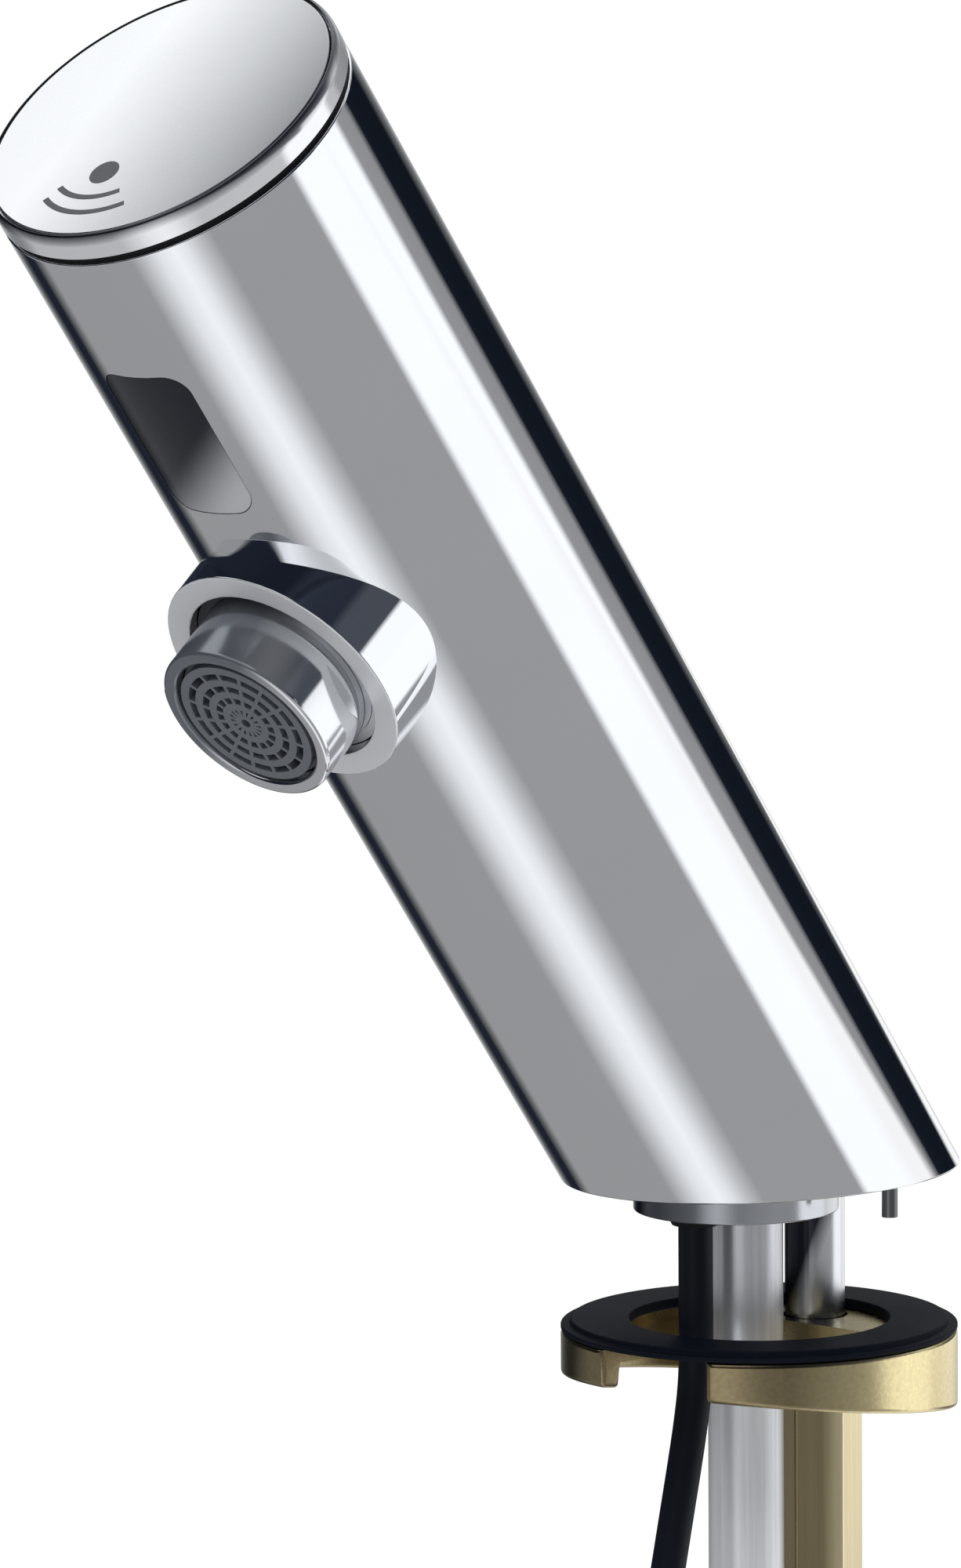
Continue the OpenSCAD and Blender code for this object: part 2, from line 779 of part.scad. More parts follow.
module solenoid_yoke() {
    color([0.55, 0.56, 0.58]) {
        for (s = [coil_s0 - fit - yoke_t, coil_s0 + coil_h + fit])
            at_core(s) tube(yoke_r, tube_r + fit, yoke_t);
        for (side = [-1, 1]) at_core(coil_s0 - fit - yoke_t)
            translate([side * (yoke_r + yoke_t / 2) - yoke_t / 2, -yoke_w / 2, 0])
                cube([yoke_t, yoke_w, coil_h + 2 * (yoke_t + fit)]);
        for (side = [-1, 1], s = [coil_s0 - fit - yoke_t, coil_s0 + coil_h + fit]) at_core(s)
            translate([side * (yoke_r - yoke_t / 2) - yoke_t, -yoke_w / 2, 0])
                cube([2 * yoke_t, yoke_w, yoke_t]);
    }
}

module coil_nut() {
    color([0.75, 0.76, 0.78]) at_core(coil_s0 + coil_h + yoke_t + 2 * fit) difference() {
        cylinder(r = coil_nut_r, h = coil_nut_h, $fn = 6);
        translate([0, 0, -cut]) cylinder(r = tube_r + run_fit, h = coil_nut_h + 2 * cut);
    }
}

way_tube_s0 = valve_s0 + branch_h - way_tube_in + fit;
way_tube_s1 = spout_s - nozzle_cavity_r - fit;

module outlet_tube() {
    color([0.75, 0.62, 0.45]) tilt() translate([0, branch_v, way_tube_s0])
        tube(way_tube_r, way_tube_r - way_tube_wall, way_tube_s1 - way_tube_s0);
}

module tube_orings() {
    color([0.08, 0.08, 0.09]) for (s = [valve_s0 + branch_h - way_oring_step,
            spout_s - nozzle_r + way_oring_step])
        tilt() translate([0, branch_v, s]) ring_of(way_tube_r + way_oring_r + run_fit, way_oring_r);
}

module spout_nozzle() {
    color([0.62, 0.64, 0.66]) difference() {
        at_spout() translate([0, 0, nozzle_f0]) cylinder(r = nozzle_r, h = nozzle_f1 - nozzle_f0);
        at_spout() translate([0, 0, nozzle_f0 + nozzle_wall])
            cylinder(r = nozzle_cavity_r, h = nozzle_f1 - nozzle_f0);
        at_spout() translate([0, 0, nozzle_seat_f])
            cylinder(r = aerator_r + run_fit, h = nozzle_thread_len + cut);
        tilt() translate([0, branch_v, spout_s - nozzle_r - cut])
            cylinder(r = way_tube_r + fit, h = nozzle_r + cut);
        tilt() translate([0, branch_v, spout_s - nozzle_r + way_oring_step])
            ring_of(way_tube_r + way_oring_r + run_fit, way_oring_r + fit);
    }
}

module aerator_seal() {
    color([0.10, 0.10, 0.11]) at_spout() translate([0, 0, nozzle_seat_f + fit])
        tube(aerator_r - near, seal_in_r, seal_t);
}

aerator_f0 = nozzle_seat_f + seal_t + 2 * fit;

module aerator_housing() {
    color([0.82, 0.84, 0.86]) at_spout() difference() {
        translate([0, 0, aerator_f0]) cylinder(r = aerator_r, h = aerator_f1 - aerator_f0);
        translate([0, 0, aerator_f0 - cut])
            cylinder(r = aerator_bore_r, h = aerator_f1 - aerator_f0 + 2 * cut);
        for (side = [-1, 1])
            translate([side * aerator_flats - aerator_flats / 2, -aerator_r, nozzle_f1 + flats_from])
                cube([aerator_flats, aerator_d, aerator_out - nozzle_recess]);
    }
}

module aerator_insert() {
    insert_f0 = aerator_f0 + screen_t + regulator_t + 2 * fit;
    insert_out_r = aerator_bore_r - fit;
    face_r = insert_out_r - aerator_lip;
    color([0.55, 0.57, 0.60]) at_spout() {
        translate([0, 0, insert_f0]) difference() {
            cylinder(r = insert_out_r, h = aerator_f1 - grid_recess - grid_t - insert_f0);
            translate([0, 0, -cut])
                cylinder(r = face_r - grid_ring_w, h = aerator_f1 - insert_f0);
        }
        translate([0, 0, aerator_f1 - grid_recess - grid_t]) difference() {
            cylinder(r = face_r, h = grid_t);
            translate([0, 0, -cut]) cylinder(r = grid_hub_r / 2, h = grid_t + 2 * cut);
            difference() {
                for (k = [0 : grid_rings - 1]) translate([0, 0, -cut])
                    tube(grid_hub_r + grid_slot_w + k * (grid_slot_w + grid_ring_w),
                        grid_hub_r + k * (grid_slot_w + grid_ring_w), grid_t + 2 * cut);
                for (i = [0 : grid_ribs / 2 - 1]) rotate([0, 0, i * 360 / grid_ribs])
                    translate([-aerator_r, -grid_rib_w / 2, 0]) cube([aerator_d, grid_rib_w, grid_t]);
            }
        }
    }
}

module flow_regulator() {
    color([0.85, 0.35, 0.20]) at_spout() translate([0, 0, aerator_f0 + screen_t + fit]) difference() {
        cylinder(r = aerator_bore_r - fit, h = regulator_t);
        for (i = [0 : regulator_holes - 1]) rotate([0, 0, i * 360 / regulator_holes])
            translate([aerator_bore_r / 2, 0, -cut])
                cylinder(r = regulator_hole_r, h = regulator_t + 2 * cut, $fn = 24);
    }
}

module aerator_screen() {
    color([0.75, 0.75, 0.72]) at_spout() translate([0, 0, aerator_f0]) difference() {
        cylinder(r = aerator_bore_r - fit, h = screen_t);
        for (ring = [1 : 3], i = [0 : 6 * ring - 1]) rotate([0, 0, i * 60 / ring])
            translate([ring * aerator_bore_r / 4, 0, -cut])
                cylinder(r = screen_hole_r, h = screen_t + 2 * cut, $fn = 16);
    }
}

module mounting_stud() {
    color([0.68, 0.70, 0.72]) translate([0, stud_y, -stud_below]) {
        cylinder(r1 = stud_r - stud_chamfer, r2 = stud_r, h = stud_chamfer);
        translate([0, 0, stud_chamfer])
            cylinder(r = stud_r, h = stud_below + stud_up - stud_chamfer);
    }
}

module rubber_washer() {
    color([0.04, 0.04, 0.05]) translate([0, clamp_y, clamp_z]) {
        tube(clamp_r, washer_hole_r, washer_step_t);
        translate([0, 0, washer_step_t])
            tube(clamp_r - washer_in_step, washer_hole_r, washer_step_t);
    }
}

// The clamp's wall and flange: a deep ring, cut off on a slope below
module clamp_ring() {
    difference() {
        translate([0, clamp_y, clamp_z - clamp_h]) cylinder(r = clamp_r, h = clamp_h);
        translate([0, clamp_y, clamp_z - clamp_h - cut])
            cylinder(r = clamp_r - clamp_wall, h = clamp_h - clamp_flange_t + cut);
        translate([0, clamp_y - clamp_r, clamp_z - clamp_tip_h]) rotate([-clamp_slope, 0, 0])
            translate([-clamp_d, -clamp_d, -clamp_d]) cube([2 * clamp_d, 4 * clamp_d, clamp_d]);
    }
}

module horseshoe_clamp() {
    color([0.80, 0.68, 0.38]) difference() {
        union() {
            clamp_ring();
            intersection() {
                translate([0, stud_y, clamp_z - clamp_boss_h])
                    cylinder(r = clamp_boss_r, h = clamp_boss_h);
                translate([0, clamp_y, clamp_z - clamp_boss_h]) cylinder(r = clamp_r, h = clamp_boss_h);
            }
        }
        intersection() {
            translate([0, clamp_y, clamp_z - clamp_h])
                cylinder(r = clamp_r - clamp_flange_w, h = clamp_h + cut);
            translate([-clamp_r, clamp_web_y - clamp_d, clamp_z - clamp_h])
                cube([clamp_d, clamp_d, clamp_h + cut]);
        }
        translate([0, clamp_y, clamp_z - clamp_h - cut]) linear_extrude(clamp_h + 2 * cut)
            polygon([[0, 0],
                [clamp_d * sin(-clamp_gap_left), -clamp_d * cos(clamp_gap_left)],
                [clamp_d * sin(clamp_gap_right), -clamp_d * cos(clamp_gap_right)]]);
        translate([0, stud_y, clamp_z - clamp_boss_h - cut])
            cylinder(r = stud_r + stud_clearance, h = clamp_boss_h + 2 * cut);
    }
}

module sleeve_nut() {
    color([0.80, 0.68, 0.38])
        translate([0, stud_y, clamp_z - clamp_boss_h - run_fit - nut_len]) difference() {
            rotate([0, 0, nut_turned]) cylinder(r = nut_af / 2 / cos(30), h = nut_len, $fn = 6);
            translate([0, 0, -cut]) cylinder(r = stud_r + run_fit, h = nut_len + 2 * cut);
        }
}

// One rounded tube along a list of points; its first and last rings are square to the ends
function unit(v) = v / norm(v);
function along(p, i) = unit(p[min(i + 1, len(p) - 1)] - p[max(i - 1, 0)]);
function ring_points(p, i, side, r, sides) =
    let (t = along(p, i), a = unit(side - (side * t) * t), b = cross(t, a))
    [for (k = [0 : sides - 1])
        p[i] + r * (cos(k * 360 / sides) * a + sin(k * 360 / sides) * b)];

module swept(p, side, r, sides) {
    n = len(p);
    polyhedron(
        points = [for (i = [0 : n - 1]) each ring_points(p, i, side, r, sides)],
        faces = concat(
            [for (k = [1 : sides - 2]) [0, k, k + 1]],
            [for (k = [1 : sides - 2])
                [(n - 1) * sides, (n - 1) * sides + k + 1, (n - 1) * sides + k]],
            [for (i = [0 : n - 2], k = [0 : sides - 1])
                [i * sides + k, (i + 1) * sides + k, (i + 1) * sides + (k + 1) % sides]],
            [for (i = [0 : n - 2], k = [0 : sides - 1])
                [i * sides + k, (i + 1) * sides + (k + 1) % sides, i * sides + (k + 1) % sides]]));
}

free_path = concat([[0, cable_y, exit_z]], cable_route, [[0, hank_y, hank_top]]);

// The hank: down a run, round the fold, up the other side into the next layer, and over
function smooth(t) = t * t * (3 - 2 * t);
waist_z = hank_top - hank_lead - hank_run / 2;
fold_top = hank_top - hank_lead;
fold_bottom = fold_top - hank_run;
function run_x(z) = abs(z - waist_z) >= waist_h ? fold_r :
    waist_x + (fold_r - waist_x) * pow(sin(90 * (z - waist_z) / waist_h), 2);
function layer_y(k) = hank_y - k * hank_pitch;
half_steps = run_steps / 2;
lead_len = hank_top - waist_z - cable_d;

tail_end = hank_run / 2 + tail_len;

function hank_points(fine) = concat(
    [[0, hank_y, hank_top]],
    [for (i = [0 : 2 * half_steps * fine - 1])
        let (t = i / (2 * half_steps * fine))
        [waist_x * smooth(t), hank_y, hank_top - cable_d - t * lead_len]],
    [for (i = [0 : half_steps * fine - 1])
        let (z = waist_z - i / (half_steps * fine) * hank_run / 2)
        [run_x(z), hank_y, z]],
    [for (k = [0 : hank_loops - 1]) each concat(
        [for (i = [0 : fold_steps * fine - 1])
            let (a = 180 * i / (fold_steps * fine))
            [fold_r * cos(a), layer_y(k), fold_bottom - fold_r * sin(a)]],
        [for (i = [0 : run_steps * fine - 1])
            let (t = i / (run_steps * fine), z = fold_bottom + t * hank_run)
            [-run_x(z), layer_y(k + smooth(t)), z]],
        [for (i = [0 : fold_steps * fine - 1])
            let (a = 180 * i / (fold_steps * fine))
            [-fold_r * cos(a), layer_y(k + 1), fold_top + fold_r * sin(a)]],
        [for (i = [0 : (k == hank_loops - 1 ? half_steps : run_steps) * fine - 1])
            let (z = fold_top - i / (run_steps * fine) * hank_run)
            [run_x(z), layer_y(k + 1), z]])],
    [for (i = [0 : 2 * half_steps * fine])
        let (t = i / (2 * half_steps * fine))
        [waist_x * (1 - smooth(t)), layer_y(hank_loops), waist_z - t * tail_end]],
    [[0, layer_y(hank_loops), waist_z - tail_end - cable_d]]);
hank_path = hank_points(1);
hank_end_z = waist_z - tail_end - cable_d;

function path_len(p) = len(p) < 2 ? 0 : let (s = [for (i = [1 : len(p) - 1]) norm(p[i] - p[i - 1])])
    s * [for (i = s) 1];
function least_gap(p, skip) = min([for (i = [0 : len(p) - 1 - skip], j = [i + skip : len(p) - 1])
    norm(p[i] - p[j])]) - cable_d;
fine_steps = 4;
echo(hank_gap = least_gap(hank_points(fine_steps), 4 * fine_steps));
echo(free_length = path_len(free_path), hank_length = path_len(hank_points(fine_steps)));

module sensor_cable() color([0.05, 0.05, 0.06]) swept(free_path, [1, 0, 0], cable_r, lead_sides);

module cable_hank() color([0.05, 0.05, 0.06]) swept(hank_path, [0, 1, 0], cable_r, hank_sides);

module inner_lead() {
    lead_end = window_s - board_h / 2 - fit;
    bend = len(lead_shares);
    lead_route = [for (i = [0 : len(lead_heights) - 1])
        [i < bend ? bore_r * lead_shares[i][0] : lead_x,
            i < bend ? bore_r * lead_shares[i][1] : lead_v, lead_heights[i]]];
    color([0.05, 0.05, 0.06]) tilt()
        swept(concat(lead_route, [[lead_x, lead_v, lead_end]]), [0, 1, 0], cable_r - fit, lead_sides);
}

module cable_gland() {
    color([0.10, 0.10, 0.11]) difference() {
        translate([0, cable_y, 0]) {
            translate([0, 0, -spigot_t]) cylinder(r = gland_r, h = spigot_t + gland_up);
            translate([0, 0, exit_z])
                cylinder(r1 = gland_r - gland_lip_t / 2, r2 = gland_r, h = gland_lip_t);
        }
        translate([0, cable_y, exit_z - cut])
            cylinder(r = cable_r + run_fit, h = gland_up - exit_z + 2 * cut);
    }
}

module cable_tie() {
    depth = hank_loops * hank_pitch + cable_d + 2 * near;
    width = 2 * waist_x + cable_d + 2 * near;
    color([0.08, 0.08, 0.09]) translate([0, hank_y - hank_loops * hank_pitch / 2, waist_z - tie_w / 2]) {
        linear_extrude(tie_w) difference() {
            rounded_rect(width + 2 * tie_t, depth + 2 * tie_t, 2 * tie_t);
            rounded_rect(width, depth, tie_t);
        }
        translate([-tie_head / 2, -depth / 2 - tie_t - tie_head / 2, 0])
            cube([tie_head, tie_head / 2 + tie_t / 2, tie_w]);
    }
}

module cable_plug() {
    color([0.06, 0.06, 0.07]) translate([0, layer_y(hank_loops), hank_end_z]) mirror([0, 0, 1]) {
        cylinder(r1 = cable_r + near, r2 = plug_r - 2 * near, h = plug_boot_len);
        translate([0, 0, plug_boot_len]) cylinder(r = plug_r - plug_rib_r, h = plug_len);
        for (i = [0 : plug_ribs - 1])
            translate([0, 0, plug_boot_len + (i + 0.5) * plug_len / plug_ribs])
                ring_of(plug_r - plug_rib_r, plug_rib_r);
        translate([0, 0, plug_boot_len + plug_len])
            tube(plug_barrel_r, plug_barrel_r - 2 * near, plug_barrel_len);
    }
}

module plug_contacts() {
    color([0.85, 0.72, 0.35]) translate([0, layer_y(hank_loops), hank_end_z]) mirror([0, 0, 1])
        for (i = [0 : 2]) rotate([0, 0, i * 120])
            translate([contact_pcd_r, 0, plug_boot_len + plug_len]) cylinder(r = contact_r, h = contact_len);
}

body_shell();
base_plate();
base_screws();
anti_twist_pins();
cap_body();
cap_disc();
cap_gasket();
cap_oring();
sensor_window();
window_gasket();
sensor_housing();
ir_emitter();
ir_receiver();
sensor_board();
board_screws();
control_module();
inlet_elbow();
pipe_oring();
strainer();
check_valve_body();
check_poppet();
check_spring();
valve_body();
diaphragm();
diaphragm_insert();
valve_cover();
plunger();
plunger_spring();
solenoid_coil();
solenoid_yoke();
coil_nut();
outlet_tube();
tube_orings();
spout_nozzle();
aerator_seal();
aerator_housing();
aerator_insert();
flow_regulator();
aerator_screen();
supply_pipe();
mounting_stud();
rubber_washer();
horseshoe_clamp();
sleeve_nut();
inner_lead();
cable_gland();
sensor_cable();
cable_hank();
cable_tie();
cable_plug();
plug_contacts();
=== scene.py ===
"""Dresses the sensor tap: its finishes, its smooth skins, its cable, the studio and the camera."""

import logging
import math
from dataclasses import dataclass
from enum import Enum
from typing import Any, Callable, ClassVar, Sequence

import bmesh
import bpy
from mathutils import Matrix, Vector


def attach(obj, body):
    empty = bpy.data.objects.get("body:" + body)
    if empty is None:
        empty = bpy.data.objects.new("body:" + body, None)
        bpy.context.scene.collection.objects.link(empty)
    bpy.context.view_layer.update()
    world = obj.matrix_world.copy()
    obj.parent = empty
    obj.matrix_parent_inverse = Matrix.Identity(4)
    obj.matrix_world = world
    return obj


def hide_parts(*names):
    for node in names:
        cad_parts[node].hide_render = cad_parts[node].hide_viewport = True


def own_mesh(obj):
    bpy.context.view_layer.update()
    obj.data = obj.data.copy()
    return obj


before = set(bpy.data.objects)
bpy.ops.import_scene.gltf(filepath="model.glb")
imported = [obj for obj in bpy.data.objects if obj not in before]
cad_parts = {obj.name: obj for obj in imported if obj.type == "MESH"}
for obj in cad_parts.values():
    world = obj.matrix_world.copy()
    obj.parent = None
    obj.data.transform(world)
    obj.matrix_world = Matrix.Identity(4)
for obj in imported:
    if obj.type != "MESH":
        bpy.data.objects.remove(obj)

LOG = logging.getLogger("tap")
MM = 0.001
ROOT = "tap"
LEAN = math.radians(38.2)
TILT = Matrix.Rotation(LEAN, 4, "X")
SPOUT_S = 115.1
SPOUT = TILT @ Matrix.Translation((0, 0, SPOUT_S * MM)) @ Matrix.Rotation(math.pi / 2, 4, "X")
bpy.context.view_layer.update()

Colour = tuple[float, float, float]
Point = tuple[float, float, float]
Span = tuple[float, float]
Form = bmesh.types.BMesh
Face = bmesh.types.BMFace
Choice = Callable[[Vector], bool]

# Ways to measure along: out of the spout, up the body, and level to the camera's right, the way that
# painted light brightens the brass and the foot
OUT: Point = (0.0, -math.cos(LEAN), -math.sin(LEAN))
UP: Point = (0.0, -math.sin(LEAN), math.cos(LEAN))
PAINTED_LIGHT_WAY: Point = (0.752, 0.659, 0.0)


def add(name: str, data: bpy.types.ID) -> bpy.types.Object:
    """Adds an object to the scene.

    Args:
        name: its name.
        data: its mesh, curve, light or camera.

    Returns:
        The object.
    """
    made = bpy.data.objects.new(name, data)
    bpy.context.scene.collection.objects.link(made)
    return made


def upright(y: float) -> Matrix:
    """Returns the place of a vertical axis, y millimetres towards the back."""
    return Matrix.Translation((0, y * MM, 0))


class Texture(Enum):
    """How a surface was made, which decides the pattern that its finish carries."""

    POLISHED = "polished"
    SATIN = "satin"
    DRAWN = "drawn"
    CAST = "cast"
    MOULDED = "moulded"


@dataclass
class Signal:
    """One value of a node tree, with the sums and products that a finish needs."""

    shader: "Shader"
    socket: Any

    def _math(self, operation: str, first: Any, second: Any = 0.0) -> "Signal":
        """Returns the result of one Math node on two values or signals."""
        made = self.shader.node("ShaderNodeMath", {"operation": operation}, {0: first, 1: second})
        return Signal(self.shader, made.outputs[0])

    def __add__(self, other: Any) -> "Signal":
        """Returns this value plus another."""
        return self._math("ADD", self, other)

    def __radd__(self, other: Any) -> "Signal":
        """Returns another value plus this one."""
        return self._math("ADD", other, self)

    def __sub__(self, other: Any) -> "Signal":
        """Returns this value less another."""
        return self._math("SUBTRACT", self, other)

    def __rsub__(self, other: Any) -> "Signal":
        """Returns another value less this one."""
        return self._math("SUBTRACT", other, self)

    def __mul__(self, other: Any) -> "Signal":
        """Returns this value times another."""
        return self._math("MULTIPLY", self, other)

    def __rmul__(self, other: Any) -> "Signal":
        """Returns another value times this one."""
        return self._math("MULTIPLY", other, self)

    def over(self, edge: float, width: float, smooth: bool = False) -> "Signal":
        """Rises from 0 to 1 over a width around an edge.

        Args:
            edge: the value at the middle of the step.
            width: the width of the step.
            smooth: whether it starts and ends softly.

        Returns:
            The clamped step.
        """
        kind = "SMOOTHSTEP" if smooth else "LINEAR"
        made = self.shader.node(
            "ShaderNodeMapRange", {"clamp": True, "interpolation_type": kind},
            {0: self, 1: edge - width / 2, 2: edge + width / 2, 3: 0.0, 4: 1.0},
        )
        return Signal(self.shader, made.outputs[0])

    def turn(self, other: "Signal") -> "Signal":
        """Returns the angle whose tangent is this value over another."""
        return self._math("ARCTAN2", self, other)


class Shader:
    """A node tree under construction."""

    def __init__(self, tree: bpy.types.NodeTree) -> None:
        """Empties the node tree of a material or of the world."""
        self.tree = tree
        tree.nodes.clear()

    def node(
        self, kind: str, settings: dict[str, Any] | None = None,
        sockets: dict[Any, Any] | None = None,
    ) -> bpy.types.Node:
        """Adds a node.

        Args:
            kind: the node's type.
            settings: its own settings; "stops" holds a ramp's places and colours.
            sockets: values, signals or sockets for its inputs, by name or number.

        Returns:
            The node.
        """
        made = self.tree.nodes.new(kind)
        for key, value in (settings or {}).items():
            if key == "stops":
                ramp = made.color_ramp
                while len(ramp.elements) > 1:
                    ramp.elements.remove(ramp.elements[-1])
                for index, (place, colour) in enumerate(value):
                    stop = ramp.elements[0] if index == 0 else ramp.elements.new(place)
                    stop.position = place
                    stop.color = (*colour, 1.0)
            else:
                setattr(made, key, value)
        for key, value in (sockets or {}).items():
            target = made.inputs[key]
            if isinstance(value, Signal):
                value = value.socket
            if isinstance(value, bpy.types.NodeSocket):
                self.tree.links.new(value, target)
            elif isinstance(value, tuple) and len(value) == 3 and target.type == "RGBA":
                target.default_value = (*value, 1.0)
            else:
                target.default_value = value
        return made

    def signal(self, node: bpy.types.Node, output: Any = 0) -> Signal:
        """Returns one output of a node as a signal."""
        return Signal(self, node.outputs[output])

    def dot(self, place: Any, way: Sequence[float]) -> Signal:
        """Returns how far a place or direction, given by its socket, goes along a way."""
        made = self.node(
            "ShaderNodeVectorMath", {"operation": "DOT_PRODUCT"}, {0: place, 1: tuple(way)}
        )
        return self.signal(made, 1)

    def mix(self, factor: Any, first: Any, second: Any) -> bpy.types.NodeSocket:
        """Returns the socket of two colours' mix, where factor is the second one's share."""
        made = self.node(
            "ShaderNodeMix", {"data_type": "RGBA"}, {"Factor": factor, 6: first, 7: second}
        )
        return made.outputs[2]


@dataclass(frozen=True)
class Wash:
    """A second colour and gloss that take over along one direction of the part: painted light and shade on
    most finishes, a rougher, less metallic front face on the chrome's collar.
    """

    colour: Colour
    along: Point
    start: float
    end: float
    roughness: float | None = None
    metallic: float | None = None
    smooth: bool = False

    def share(self, shader: Shader) -> Signal:
        """Returns the second look's share.

        Args:
            shader: the tree to add it to.

        Returns:
            The share, from 0 to 1; start and end are millimetres along the direction.
        """
        place = shader.node("ShaderNodeTexCoord").outputs["Object"]
        along = shader.dot(place, Vector(self.along).normalized() / MM)
        return along.over((self.start + self.end) / 2, self.end - self.start, self.smooth)


@dataclass(frozen=True)
class Finish:
    """One finish: a colour, a gloss and the fine pattern of its texture."""

    name: str
    colour: Colour
    roughness: float
    texture: Texture
    metallic: float = 0.0
    shade: float = 0.1
    play: float = 0.02
    depth: float = 0.0
    scale: float = 1500.0
    specular: float = 0.5
    wash: Wash | None = None

    BROAD_SCALE: ClassVar[float] = 45.0
    BROAD_DETAIL: ClassVar[float] = 3.0
    BROAD_SHARE: ClassVar[float] = 0.6
    FINE_DETAIL: ClassVar[float] = 4.0
    DRAW: ClassVar[float] = 0.02

    def _stretch(self) -> Vector:
        """Returns how far the pattern is drawn out along each axis."""
        return Vector((1, 1, self.DRAW if self.texture is Texture.DRAWN else 1))

    def _noise(self, shader: Shader, scale: float, detail: float) -> Signal:
        """Adds a noise on the object's own coordinates.

        Args:
            shader: the tree to add it to.
            scale: its waves per metre.
            detail: its octaves.

        Returns:
            The noise, from 0 to 1.
        """
        place = shader.node("ShaderNodeTexCoord").outputs["Object"]
        mapped = shader.node("ShaderNodeMapping", {}, {"Vector": place, "Scale": self._stretch()})
        made = shader.node(
            "ShaderNodeTexNoise", {}, {"Vector": mapped.outputs[0], "Scale": scale, "Detail": detail}
        )
        return shader.signal(made, 0)

    def build(self) -> bpy.types.Material:
        """Makes the material.

        Returns:
            The material, with its nodes.
        """
        material = bpy.data.materials.new(self.name)
        material.use_nodes = True
        shader = Shader(material.node_tree)
        broad = self._noise(shader, self.BROAD_SCALE, self.BROAD_DETAIL)
        fine = self._noise(shader, self.scale, self.FINE_DETAIL)
        pattern = fine if self.texture in (Texture.DRAWN, Texture.CAST) else broad
        base: Any = self.colour
        roughness: Any = self.roughness
        metallic: Any = self.metallic
        if self.wash is not None:
            share = self.wash.share(shader)
            base = shader.mix(share, self.colour, self.wash.colour)
            if self.wash.roughness is not None:
                roughness = share * (self.wash.roughness - self.roughness) + self.roughness
            if self.wash.metallic is not None:
                metallic = share * (self.wash.metallic - self.metallic) + self.metallic
        mottle = broad * self.BROAD_SHARE + fine * (1 - self.BROAD_SHARE) - 0.5
        sockets: dict[Any, Any] = {
            "Base Color": shader.mix(pattern.over(0.5, 0.5) * self.shade, base, (0.0, 0.0, 0.0)),
            "Roughness": roughness + 2 * self.play * mottle,
            "Metallic": metallic,
            "Specular IOR Level": self.specular,
        }
        if self.depth > 0:
            bump = shader.node(
                "ShaderNodeBump", {}, {"Height": fine, "Strength": 1.0, "Distance": self.depth}
            )
            sockets["Normal"] = bump.outputs[0]
        surface = shader.node("ShaderNodeBsdfPrincipled", {}, sockets)
        shader.node("ShaderNodeOutputMaterial", {}, {0: surface.outputs[0]})
        return material


